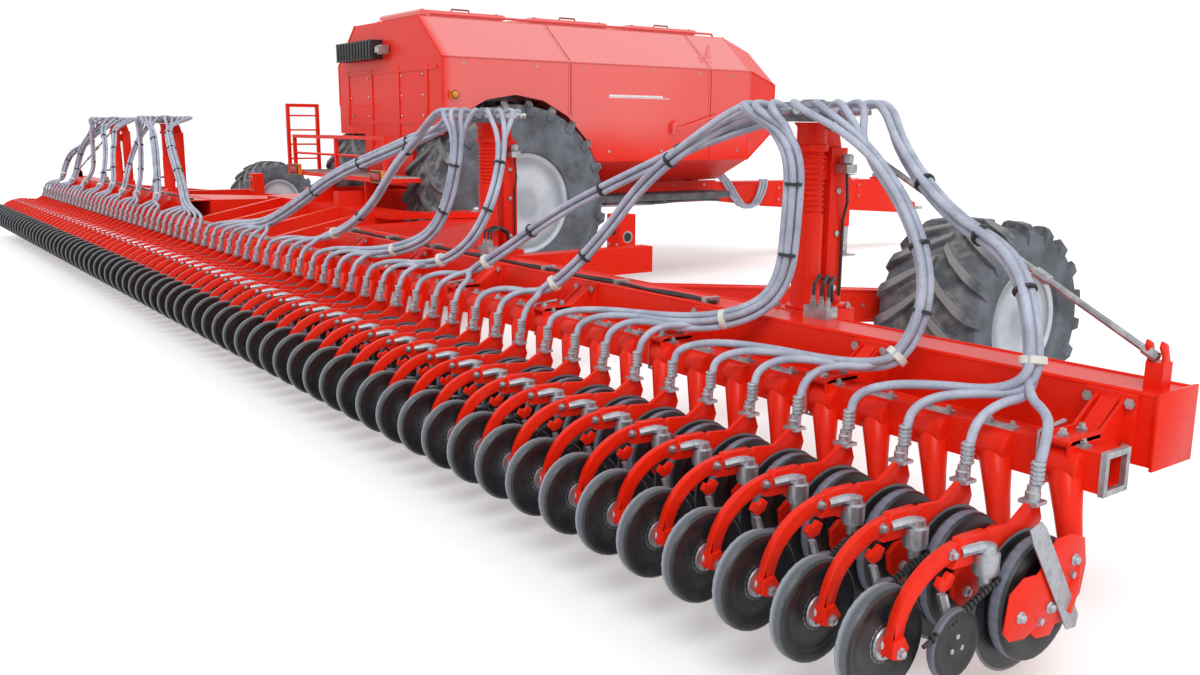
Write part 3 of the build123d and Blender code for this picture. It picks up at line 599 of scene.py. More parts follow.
def endPlateShape():
    # larger side plate of the end unit
    shape = Shape()
    outline = [(0.315, 0.355), (0.35, 0.32), (0.43, 0.308), (0.5, 0.335), (0.59, 0.325), (0.65, 0.335),
            (0.715, 0.375), (0.735, 0.47), (0.715, 0.56), (0.64, 0.59), (0.555, 0.59), (0.51, 0.53),
            (0.47, 0.5), (0.4, 0.505), (0.335, 0.47)]
    shape.plate(outline, 0.1185, 0.1235)
    return shape


# Wheels and discs of a row unit: hub, place across, sides, and places along the axis with their radii
unitWheels = {
    "seedDiscs": ("discHub", 0.0185, 36, (
        (-0.002, 0.03), (-0.001, 0.196), (0.002, 0.222), (0.0035, 0.2295), (0.005, 0.222), (0.008, 0.196),
        (0.01, 0.09), (0.012, 0.06),
    )),
    "gaugeWheels": ("gaugeHub", 0.0315, 32, (
        (0.002, 0.05), (0.003, 0.15), (0.004, 0.176), (0.01, 0.19), (0.024, 0.197), (0.048, 0.197),
        (0.062, 0.19), (0.067, 0.174), (0.064, 0.14), (0.05, 0.118), (0.048, 0.07), (0.058, 0.045),
        (0.06, 0.03),
    )),
    "closingWheels": ("closingHub", -0.019, 32, (
        (-0.052, 0.04), (-0.05, 0.14), (-0.052, 0.154), (-0.046, 0.162), (-0.034, 0.1655), (-0.014, 0.1655),
        (-0.002, 0.162), (0.004, 0.154), (0.001, 0.138), (-0.014, 0.12), (-0.016, 0.074), (-0.004, 0.056),
        (-0.002, 0.04),
    )),
    "closingHubs": ("closingHub", -0.019, 18, (
        (-0.058, 0.028), (-0.056, 0.04), (-0.018, 0.052), (-0.014, 0.06), (-0.006, 0.06), (-0.003, 0.05),
        (0.002, 0.048), (0.004, 0.026), (0.012, 0.022), (0.014, 0.012),
    )),
    "pressWheels": ("pressHub", 0.045, 24, (
        (-0.016, 0.022), (-0.015, 0.088), (-0.012, 0.101), (-0.004, 0.108), (0.01, 0.108), (0.018, 0.101),
        (0.02, 0.088), (0.014, 0.072), (0.014, 0.032), (0.02, 0.02),
    )),
}


def unitWheel(label):
    hub, x, count, profile = unitWheels[label]
    shape = Shape()
    shape.lathe(profile, (x, *rowSettings[hub]), "X", count)
    return shape


def pressHubShape():
    shape = Shape()
    y, z = rowSettings["pressHub"]
    for a in (90, 210, 330):
        shape.bolt("tiny", (0.0585, y + 0.026 * cos(radians(a)), z + 0.026 * sin(radians(a))), "X")
    shape.tube([(0.014, 0.165, 0.478), (0.03, 0.18, 0.4), (0.03, 0.185, 0.335)], 0.011, 6, 1.6)
    return shape


rowPieces = (
    ("coulterArms", armShape, "redPaint", 0.003, "carrier", "row_arms_"),
    ("armFittings", fittingShape, "galvanised", 0.0, "carrier", None),
    ("pressRods", rodShape, "blackPlastic", 0.0, "carrier", None),
    ("pressWheels", None, "pressWheel", 0.0, "carrier", None),
    ("pressHubs", pressHubShape, "galvanised", 0.0, "carrier", None),
    ("seedDiscs", None, "seedDisc", 0.0, "seed_disc_row_", "seed_discs_"),
    ("gaugeWheels", None, "gaugeWheel", 0.0, "seed_disc_row_", None),
    ("closingWheels", None, "closingWheel", 0.0, "closing_wheel_row_", "closing_wheels_"),
    ("closingHubs", None, "galvanised", 0.0, "closing_wheel_row_", None),
)
for section, (count, first, carrier) in rowSettings["sections"].items():
    for label, make, finish, edge, body, replaced in rowPieces:
        unit = (make() if make else unitWheel(label)).build(label + "Unit", finish, edge)
        name = label + marks[section]
        piece = acrossDrill(unit, name, finish, count, rowSettings["pitch"], first)
        body = carrier if body == "carrier" else body + section
        place(piece, body, [replaced + section] if replaced else [])
for label, make, finish, edge in (("endPlate", endPlateShape, "redPaint", 0.0015),
        ("endLever", leverShape, "galvanised", 0.002)):
    unit = make().build(label + "Unit", finish, edge)
    piece = acrossDrill(unit, label + "Right", finish, 1, rowSettings["pitch"], rowSettings["last"])
    place(piece, "wing_right")
print("row units made")


# Tyres and rims
wheelSettings = {
    "main": {"hub": mainHub, "width": 0.86, "x": 1.05, "rim": 0.5, "lugs": 22, "bolts": 10},
    "wing": {"hub": wingHub, "width": 0.75, "x": 6.6, "rim": 0.33, "lugs": 18, "bolts": 8},
}


def carcassShape(radius, width, rim):
    w, base = width / 2, radius - 0.04
    half = [(w - 0.075, rim + 0.002), (w - 0.03, rim + 0.02), (w - 0.006, rim + 0.28 * (base - rim)),
            (w, rim + 0.55 * (base - rim)), (w - 0.022, rim + 0.82 * (base - rim)), (w - 0.075, base - 0.022),
            (w - 0.17, base - 0.006)]
    shape = Shape(0)
    shape.lathe([(-x, r) for x, r in half] + [(0, base)] + half[::-1], (0, 0, 0), "X", 72)
    return shape


def lugShape(radius, width, half):
    # one lug from the tread's middle, over the shoulder and down the side wall
    w, base = width / 2, radius - 0.045
    stations = ((0.01, base, radius - 0.001, 0.0, 0.03), (0.3 * w, base, radius, 0.1, 0.033),
            (0.62 * w, base - 0.004, radius - 0.002, 0.185, 0.036),
            (0.86 * w, base - 0.03, radius - 0.014, 0.235, 0.04),
            (0.985 * w, base - 0.075, radius - 0.062, 0.255, 0.042),
            (1.0 * w - 0.006, base - 0.125, base - 0.105, 0.262, 0.036))
    shape = Shape(0)
    rings = []
    for x, low, high, sweep, thick in stations:
        a = sweep * 1.03 / radius
        ring = []
        for r, shift in ((low, -1.25), (high, -0.8), (high, 0.8), (low, 1.25)):
            b = a + shift * thick / radius
            lift = 0.012 if x > 0.97 * w and r == high else 0.0
            ring.append((half * min(x + lift, w), r * sin(b), -r * cos(b)))
        rings.append(shape.ring(ring))
    shape.skin(rings)
    return shape


def rimShape(rim, width, side):
    w = width / 2
    flange = [(w - 0.07, rim + 0.004), (w - 0.055, rim + 0.01), (w - 0.048, rim - 0.006), (w - 0.062, rim - 0.03)]
    shape = Shape(0)
    outer = flange + [(w - 0.1, rim - 0.045), (w * 0.46, rim - 0.055), (w * 0.4, rim - 0.085),
            (w * 0.34, rim * 0.6), (w * 0.42, rim * 0.52), (w * 0.44, 0.1), (w * 0.58, 0.085), (w * 0.6, 0.03)]
    inner = [(-x, r) for x, r in flange] + [(-w * 0.4, rim - 0.05), (-w * 0.1, rim - 0.06), (w * 0.2, rim * 0.58),
            (w * 0.22, 0.062)]
    for profile in (outer, inner):
        shape.lathe([(side * x, r) for x, r in profile], (0, 0, 0), "X", 48)
    return shape


def boltShape(radius, x, size):
    shape = Shape(0)
    out = x / abs(x) * size
    shape.lathe([(0, size), (out * 0.9, size), (out, size * 0.7)], (x, 0, radius), "X", 6)
    return shape


for kind, w in wheelSettings.items():
    tyreName, rimName = kind + "Tyre", kind + "Rim"
    radius, step = w["hub"][1], 2 * pi / w["lugs"]
    for side, s in sides.items():
        centre = (s * w["x"], *w["hub"])
        body = f"{kind}_wheel_{side}"
        parts = []
        for half in (-1, 1):
            lug = lugShape(radius, w["width"], half).build("lug", tyreName)
            parts.append(roundAxle(lug, "lugs", tyreName, centre, w["lugs"], 0.0 if half > 0 else step / 2))
        carcass = carcassShape(radius, w["width"], w["rim"]).build("carcass", tyreName)
        parts.append(roundAxle(carcass, "carcass", tyreName, centre))
        tyre = shadeEdges(join(parts, tyreName + marks[side]))
        place(tyre, body, [f"{kind}_tyre_{side}"])
        rim = rimShape(w["rim"], w["width"], s).build("rim", rimName)
        rim = roundAxle(rim, rimName + marks[side], rimName, centre)
        place(rim, body, [f"{kind}_rim_{side}"])
        bolt = boltShape(w["rim"] * 0.42, s * w["width"] * 0.215, 0.018).build("bolt", "steel")
        ring = roundAxle(bolt, kind + "WheelBolts" + marks[side], "steel", centre, w["bolts"])
        place(ring, body)
print("wheels made")


# Distribution towers: risers, posts and heads
towerSettings = {
    "places": (7.15, 4.18),
    "riserAhead": 1.42,
    "postAhead": 1.57,
    "headHeight": 1.865,
    "beamTop": 0.95, "postTop": 1.7,
    "rings": 13, "ringStart": 0.44, "ringPitch": 0.0245,
}


def outletTurns(tower):
    # the first outlet's direction and the step to the next, in degrees
    return (63, 18) if tower == towerSettings["places"][0] else (0, 15)


def towerShapes(s):
    red, grey = Shape(), Shape()
    for tower in towerSettings["places"]:
        x, y = s * tower, towerSettings["riserAhead"]
        top = towerSettings["headHeight"] - 0.05
        profile = [(0.0, 0.092), (0.018, 0.092), (0.02, 0.069), (0.44, 0.069)]
        z = towerSettings["ringStart"]
        for i in range(towerSettings["rings"]):
            profile += [(z + 0.006, 0.0685), (z + 0.01, 0.0595), (z + 0.02, 0.0595), (z + 0.024, 0.0685)]
            z += towerSettings["ringPitch"]
        profile += [(top - towerSettings["beamTop"] - 0.02, 0.069), (top - towerSettings["beamTop"], 0.085)]
        red.lathe(profile, (x, y, towerSettings["beamTop"]), "Z", 20)
        post, low, high = towerSettings["postAhead"], towerSettings["beamTop"], towerSettings["postTop"]
        red.slab((x - 0.042, post - 0.055, low), (x + 0.042, post + 0.055, high))
        red.slab((x - 0.13, 1.32, 0.81), (x + 0.13, 1.625, low))
        red.slab((x - 0.105, post - 0.1, low), (x + 0.105, post + 0.055, low + 0.018))
        red.slab((x - 0.02, y, high - 0.15), (x + 0.02, post, high - 0.04))
        cap = [(post - 0.05, high - 0.01), (post + 0.05, high - 0.01), (post + 0.02, 1.8), (y + 0.03, 1.815), (y, 1.8)]
        red.plate(cap, x - 0.01, x + 0.01)
        grey.lathe([(-0.046, 0.1), (-0.044, 0.165), (-0.036, 0.17), (0.02, 0.17), (0.026, 0.164), (0.04, 0.15),
                (0.045, 0.06), (0.052, 0.05), (0.054, 0.02)], (x, y, towerSettings["headHeight"]), "Z", 40)
        red.lathe([(-0.016, 0.079), (0.016, 0.079)], (x, y, high), "Z", 20)
    return red, grey


def outletShape():
    # one outlet spigot with its clip, pointing along X from a head's middle
    shape = Shape(0)
    shape.lathe([(0.15, 0.017), (0.205, 0.017), (0.206, 0.0205), (0.219, 0.0205), (0.22, 0.017), (0.262, 0.017)],
            (0, 0, 0), "X", 10)
    return shape


for side, s in sides.items():
    red, grey = towerShapes(s)
    mount(red, "towers" + marks[side], "redPaint", "wing_" + side, 0.003, ["towers_" + side])
    mount(grey, "distributionHeads" + marks[side], "darkSteel", "wing_" + side, replaced=["distribution_heads_" + side])
    outlets = []
    for tower in towerSettings["places"]:
        first, step = outletTurns(tower)
        first = first if s > 0 else 180 - first
        unit = outletShape().build("outlet", "galvanised")
        centre = (s * tower, ahead(towerSettings["riserAhead"]), towerSettings["headHeight"])
        outlets.append(repeat(unit, "outlets", "galvanised", Count=360 // step, Start=centre, Axis=(0.0, 0.0, 1.0),
                First=radians(first), Step=radians(step)))
    place(join(outlets, "headOutlets" + marks[side]), "wing_" + side)
print("towers made")


# Seed hoses: from their outlets they gather into bundles, and leave them at a clamp for their rows
hoseSettings = {
    "radius": 0.0165,
    "reach": 0.16,
    "spacing": 0.035,
    "endAhead": 0.62,
    "endHeight": 0.66,
}
# for each bundle: its hoses, its path from the tower's axis (across, ahead, height), and the spans that carry a tie
bundles = {
    7.15: (
        (4, ((0.62, 1.28, 1.7), (0.98, 1.14, 1.46), (1.34, 1.02, 1.36), (1.49, 0.93, 1.14), (1.53, 0.88, 0.92)),
         (0, 1, 2)),
        (4, ((0.48, 1.22, 1.72), (0.82, 1.1, 1.48), (0.98, 1.04, 1.22), (0.97, 0.98, 1.0), (0.9, 0.88, 0.88)),
         (1, 2)),
        (4, ((0.19, 1.12, 1.74), (0.18, 1.12, 1.36), (0.17, 1.1, 1.12), (0.1, 1.0, 0.98), (-0.16, 0.86, 0.9)),
         (0, 1)),
        (3, ((-0.48, 1.14, 1.74), (-0.84, 1.1, 1.52), (-1.08, 1.02, 1.22), (-1.28, 0.92, 1.0), (-1.4, 0.84, 0.9)),
         (0, 2)),
        (3, ((-0.52, 1.3, 1.76), (-0.96, 1.2, 1.58), (-1.5, 1.04, 1.34), (-1.98, 0.94, 1.06), (-2.2, 0.84, 0.92)),
         (0, 1, 2)),
    ),
    4.18: (
        (3, ((0.5, 1.24, 1.7), (0.62, 1.12, 1.42), (0.56, 1.02, 1.14), (0.4, 0.94, 0.98), (0.18, 0.84, 0.9)),
         (0, 1)),
        (4, ((0.14, 1.12, 1.72), (0.06, 1.1, 1.36), (-0.06, 1.04, 1.1), (-0.26, 0.96, 0.98), (-0.6, 0.84, 0.9)),
         (0, 1)),
        (4, ((-0.44, 1.14, 1.74), (-0.78, 1.08, 1.5), (-1.02, 1.02, 1.22), (-1.34, 0.94, 1.02), (-1.62, 0.84, 0.92)),
         (0, 2)),
        (7, ((-0.56, 1.3, 1.76), (-1.1, 1.18, 1.6), (-1.75, 1.04, 1.42), (-2.45, 0.94, 1.12), (-2.9, 0.84, 0.94)),
         (0, 1, 2)),
    ),
}
packing = ((0, 0), (1, 0), (0.5, 0.87), (-0.5, 0.87), (-1, 0), (-0.5, -0.87), (0.5, -0.87))
rowPlaces = [rowSettings["last"] - rowSettings["pitch"] * i for i in range(72)]


def bundlePaths(path, count):
    # the paths of a bundle's hoses, packed side by side round its own, and its middle
    points = [Vector(p) for p in path]
    places = packing[:count]
    middle = Vector((sum(p[0] for p in places), sum(p[1] for p in places))) / count
    paths = [[] for spot in places]
    side = None
    for i, point in enumerate(points):
        along = (points[min(i + 1, len(points) - 1)] - points[max(i - 1, 0)]).normalized()
        side = side or Vector((1, 0, 0) if abs(along.x) < 0.7 else (0, 1, 0))
        side = (side - along * side.dot(along)).normalized()
        up = along.cross(side)
        for route, (a, b) in zip(paths, places):
            shift = (side * (a - middle[0]) + up * (b - middle[1])) * hoseSettings["spacing"]
            route.append(point + shift)
    return paths


def bandShape(shape, start, end, radius, half):
    # a band round a bundle, halfway along one span of its path
    start, end = Vector(start), Vector(end)
    middle, along = (start + end) / 2, (end - start).normalized() * half
    shape.tube([middle - along, middle - along * 0.8, middle + along * 0.8, middle + along],
            [radius - 0.003, radius, radius, radius - 0.003], 14)


def hoseCurve(routes, name, finish, radius):
    curve = bpy.data.curves.new(name, "CURVE")
    curve.dimensions = "3D"
    curve.bevel_depth = radius
    curve.bevel_resolution = 2
    curve.resolution_u = 10
    curve.use_fill_caps = True
    for points in routes:
        spline = curve.splines.new("NURBS")
        spline.points.add(len(points) - 1)
        for point, p in zip(spline.points, points):
            point.co = (p[0], ahead(p[1]), p[2], 1)
        spline.order_u = 3
        spline.use_endpoint_u = True
    piece = settle(newObject(name, curve), name)
    piece.data.materials.clear()
    piece.data.materials.append(finishes[finish])
    piece.data.shade_smooth()
    return piece


for side, s in sides.items():
    own, crossing, ties, clamps, crossingTies = [], [], Shape(), Shape(), Shape()
    for tower, sets in bundles.items():
        first, step = outletTurns(tower)
        rows = rowPlaces[:18] if tower > 5 else rowPlaces[18:36]
        index = 0
        for count, path, tied in sets:
            path = [(tower + x, y, z) for x, y, z in path]
            radius = hoseSettings["spacing"] * (0.62 if count < 5 else 1.0) + hoseSettings["radius"] + 0.004
            for route in bundlePaths(path, count):
                a, row = radians(first - index * step), rows[index]
                y, z = towerSettings["riserAhead"], towerSettings["headHeight"]
                reach = hoseSettings["reach"]
                arch = ((0.2, 0.0), (0.2 + 0.35 * reach, 0.034), (0.2 + reach, 0.03))
                points = [(tower + r * cos(a), y + r * sin(a), z + rise) for r, rise in arch]
                points += [tuple(p) for p in route]
                y, z = hoseSettings["endAhead"], hoseSettings["endHeight"]
                points += [(row + 0.26 * (route[-1][0] - row), 0.76, 0.9), (row, y + 0.04, z + 0.19),
                        (row, y + 0.01, z + 0.095), (row, y, z)]
                (own if row > 1.75 else crossing).append([(s * px, py, pz) for px, py, pz in points])
                index += 1
            path = [(s * x, y, z) for x, y, z in path]
            for span in tied:
                bandShape(crossingTies if count == 7 else ties, path[span], path[span + 1], radius, 0.007)
            if count < 7:
                bandShape(clamps, path[-2], path[-1], radius + 0.004, 0.014)
    place(hoseCurve(own, "seedHoses" + marks[side], "hose", hoseSettings["radius"]), "wing_" + side,
            ["seed_hoses_" + side])
    mount(ties, "hoseTies" + marks[side], "blackPlastic", "wing_" + side)
    mount(clamps, "hoseClamps" + marks[side], "creamPlastic", "wing_" + side)
    hoses = hoseCurve(crossing, "crossingHoses" + marks[side], "hose", hoseSettings["radius"])
    bands = crossingTies.build("crossingTies" + marks[side], "blackPlastic")
    for piece, finish in ((hoses, "hose"), (bands, "blackPlastic")):
        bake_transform(piece)
    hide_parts("crossing_hoses_" + side)
print("hoses made")


# Hopper's seams, stripe, rails and brackets, on panels whose corners are listed across and up
tankSettings = {
    "rear": 2.62, "front": 6.68, "nose": 7.3,
    "side": 1.25, "edge": 1.44, "fold": 2.46, "roofSide": 0.76, "roof": 2.87,
    "noseSide": 1.05, "noseEdge": 1.78, "noseFold": 2.32,
    "seams": (4.12, 6.07), "seamLow": (1.92, 1.45), "archEnd": 4.48,
    "lids": (3.2967, 4.65, 6.0033),
    "lidTop": 2.9653,
    "doorRibs": ((-0.98, 1.8), (-0.36, 1.5), (0.3, 1.5), (0.94, 1.8)),
    "doorBars": ((1.56, 0.54), (1.84, 1.16), (2.36, 1.16)), "doorTop": 2.4,
    "railSide": 0.62, "railRise": 0.045,
    "intakeRibs": 12, "intakeFirst": -0.985, "intakePitch": 0.078,
}


def wrapStrip(shape, s, start, end, lift, low):
    # a flat strip that runs up the side panel and over the roof's slope
    t = tankSettings
    inner = [(t["side"] - 0.004, low), (t["side"] - 0.004, t["fold"]), (t["roofSide"], t["roof"] - 0.004)]
    outer = [(t["side"] + lift, low), (t["side"] + lift, t["fold"] + 0.47 * lift),
            (t["roofSide"] + 0.64 * lift, t["roof"] + 0.77 * lift)]
    rings = [shape.ring([(s * x, y, z) for x, z in inner + outer[::-1]]) for y in (start, end)]
    shape.skin(rings)


def tankTrim():
    t = tankSettings
    rear, front, fold, roof = (t[key] for key in ("rear", "front", "fold", "roof"))
    trim, dark = Shape(), Shape()
    for s in sides.values():
        for y, low in zip(t["seams"], t["seamLow"]):
            wrapStrip(dark, s, y - 0.006, y + 0.006, 0.003, low)
            wrapStrip(trim, s, y - 0.03, y - 0.007, 0.0045, low)
            wrapStrip(trim, s, y + 0.007, y + 0.03, 0.0045, low)
        side, roofSide, noseSide = (s * t[key] for key in ("side", "roofSide", "noseSide"))
        # rounded beads along the panels' folds and lower edges, and round the ends
        for start, z, noseZ in ((rear, fold, t["noseFold"]), (t["archEnd"], t["edge"], t["noseEdge"])):
            trim.tube([(side, start, z), (side, front, z), (noseSide, t["nose"] - 0.004, noseZ)], 0.011, 8)
        y = t["nose"] - 0.006
        trim.tube([(noseSide, y, t["noseEdge"]), (noseSide, y, t["noseFold"])], 0.01, 8)
        y = rear + 0.004
        trim.tube([(side, y, 2.02), (side, y, fold), (roofSide, y, roof)], 0.012, 8)
        trim.tube([(side, front, t["edge"]), (side, front, fold), (roofSide, front, roof)], 0.008, 8)
        # step rail low on the side, its bracket, and the bracket on the roof's slope
        rail = ((-0.01, 5.52, 1.79), (0.035, 5.54, 1.79), (0.045, 5.62, 1.8), (0.045, 6.16, 1.95), (0.045, 6.54, 1.96),
                (0.02, 6.6, 1.96), (-0.01, 6.6, 1.96))
        trim.tube([(side + s * x, y, z) for x, y, z in rail], 0.013, 10)
        trim.plate([(5.47, 1.73), (5.52, 1.73), (5.53, 1.79), (5.57, 1.87), (5.52, 1.88), (5.48, 1.84)],
                side - s * 0.004, side + s * 0.045)
        trim.plate([(6.0, 2.52), (6.17, 2.52), (6.17, 2.74), (6.13, 2.74), (6.11, 2.62), (6.0, 2.6)], s * 1.09,
                s * 1.104)
        trim.slab((s * 1.06, 6.0, 2.5), (s * 1.16, 6.17, 2.555))
    # rear wall: framed door, ribs and bolt rows
    near, far, top = rear + 0.004, rear - 0.01, t["doorTop"]
    for x, low in t["doorRibs"]:
        trim.plate([(far, low + 0.02), (near, low), (near, top), (far, top - 0.02)], x - 0.022, x + 0.022)
    for z, reach in t["doorBars"]:
        trim.slab((-reach, rear - 0.008, z - 0.02), (reach, near, z + 0.02))
    # roof: hinge rails and the walkway's low rail
    low, high = roof, roof + t["railRise"]
    for s in sides.values():
        x = s * t["railSide"]
        trim.tube([(x, 2.8, low), (x, 2.83, high), (x, 6.62, high), (x, 6.65, low)], 0.012, 8)
        for y in (3.97, 5.33):
            trim.tube([(x, y, low - 0.01), (x, y, high)], 0.01, 8)
    return trim, dark


def tankStripe():
    # pale bar with a thin grey line under it; the place of the lettering stays bare
    shape = Shape()
    x = tankSettings["side"]
    for s in sides.values():
        for low, high, end, lift in ((2.122, 2.142, 5.36, 0.0022), (2.11, 2.117, 5.46, 0.0018)):
            shape.slab((s * (x - 0.003), 4.62, low), (s * (x + lift), end, high))
    return shape


def tankFittings():
    # bolts, catches and the small level switches, in plain steel
    shape = Shape()
    t = tankSettings
    for s in sides.values():
        for y in (4.62, 5.35, 6.5):
            shape.bolt("panel", (s * t["side"], y, 1.54), "X", s)
        for y in (4.3, 5.2, 5.9, 6.4, 2.86, 3.7):
            shape.bolt("button", (s * t["side"], y, 2.4), "X", s)
    for x in (-0.9, -0.44, 0.38, 0.86):
        for z in (1.9, 2.1, 2.3):
            shape.bolt("rearWall", (x, t["rear"], z), "Y", -1)
    shape.slab((0.02, 2.52, 2.53), (0.13, 2.6, 2.62))
    shape.slab((0.03, 2.49, 2.545), (0.12, 2.52, 2.605))
    return shape


def intakeShape():
    # ribbed black casing over the intake and its mesh
    shape = Shape()
    for i in range(tankSettings["intakeRibs"]):
        x = tankSettings["intakeFirst"] + i * tankSettings["intakePitch"]
        shape.slab((x, 2.488, 2.5), (x + 0.04, 2.502, 2.672))
    shape.slab((-1.006, 2.494, 2.664), (-0.054, 2.626, 2.684))
    shape.slab((-1.006, 2.494, 2.488), (-0.054, 2.626, 2.506))
    return shape


def lidTrim(centre):
    # raised rim, three stiffening ribs and a bow handle on one lid
    shape = Shape()
    top = tankSettings["lidTop"]
    for x in (-0.3, 0.0, 0.3):
        shape.slab((x - 0.018, centre - 0.43, top - 0.006), (x + 0.018, centre + 0.43, top + 0.012))
    for y in (centre - 0.44, centre + 0.44):
        shape.slab((-0.42, y - 0.012, top - 0.006), (0.42, y + 0.012, top + 0.01))
    shape.tube([(0.4, centre - 0.11, top - 0.004), (0.405, centre - 0.1, top + 0.026),
            (0.405, centre + 0.1, top + 0.026), (0.4, centre + 0.11, top - 0.004)], 0.009, 8)
    return shape


trim, dark = tankTrim()
mount(trim, "hopperTrim", "tankPaint", "chassis")
mount(dark, "hopperSeams", "redShade", "chassis")
mount(tankStripe(), "hopperStripe", "stripeWhite", "chassis")
mount(tankFittings(), "hopperFittings", "steel", "chassis")
mount(intakeShape(), "intakeRibs", "blackPlastic", "chassis", 0.002)
for i, centre in enumerate(tankSettings["lids"]):
    mount(lidTrim(centre), f"lidTrim{i + 1}", "redShade", f"lid_{i + 1}", 0.002)
print("hopper trimmed")


# Beams: bracket plates with their bolts, clamps, hoses along the top, end frames and stays
beamSettings = {
    "back": 1.08, "top": 0.95, "end": 9.0,
    "tube": (0.785, 0.915, 0.68, 0.81),
    "boltSide": 0.072, "boltRows": (0.765, 0.915), "lips": (1.088, 1.312), "bentBracket": (8.9, 8.948),
    "valveTaps": (0.185, 0.235, 0.275), "postBolts": (1.04, 1.3, 1.5),
    "bracketLast": 8.85, "bracketPitch": 1.0, "brackets": 7,
    "stayTop": (7.22, 1.47, 1.8), "stayFoot": (8.935, 1.175, 1.055), "stayRadius": 0.0135,
    "lines": ((1.13, 0.96, 0.007), (1.152, 0.96, 0.008)), "lineStart": 2.15, "linePitch": 0.18,
    "clips": 7, "clipStart": 2.45, "clipPitch": 0.72,
    "blockSide": 4.18, "blockRear": 2.5,
}


def clampShape():
    # one bracket's side plates and cap over the coulter tube, at X 0
    red = Shape()
    back, front, low, high = beamSettings["tube"]
    outline = [(back - 0.03, low + 0.015), (back - 0.034, high + 0.012), (back - 0.01, high + 0.03),
            (front + 0.02, high + 0.03), (beamSettings["back"] - 0.002, 0.94), (beamSettings["back"] - 0.002, 0.74),
            (front + 0.04, low - 0.012), (back + 0.01, low - 0.014)]
    for x in (-0.052, 0.04):
        red.plate(outline, x, x + 0.012)
    red.slab((-0.052, back - 0.036, high + 0.006), (0.052, front + 0.015, high + 0.022))
    red.slab((-0.09, beamSettings["back"] - 0.018, 0.735), (0.09, beamSettings["back"], 0.945))
    return red


def clampBolts():
    shape = Shape()
    back, front, low, high = beamSettings["tube"]
    for x in (-beamSettings["boltSide"], beamSettings["boltSide"]):
        for z in beamSettings["boltRows"]:
            shape.bolt("bracket", (x, beamSettings["back"] - 0.016, z), "Y", -1)
    for y in (back + 0.01, front - 0.01):
        shape.bolt("stud", (0.0, y, high + 0.022), "Z")
    shape.tube([(-0.066, back + 0.03, low - 0.02), (-0.066, back - 0.012, low - 0.008),
            (-0.066, back - 0.012, high + 0.028), (-0.066, front, high + 0.04)], 0.008, 6)
    return shape


def armBolts():
    # two bolts through each row's clamp over the tube
    shape = Shape()
    back, high = beamSettings["tube"][0], beamSettings["tube"][3]
    for x in (-0.042, 0.042):
        shape.bolt("arm", (x, back + 0.02, high + 0.01), "Z")
    shape.slab((-0.058, back + 0.002, high - 0.001), (0.058, back + 0.04, high + 0.01))
    return shape


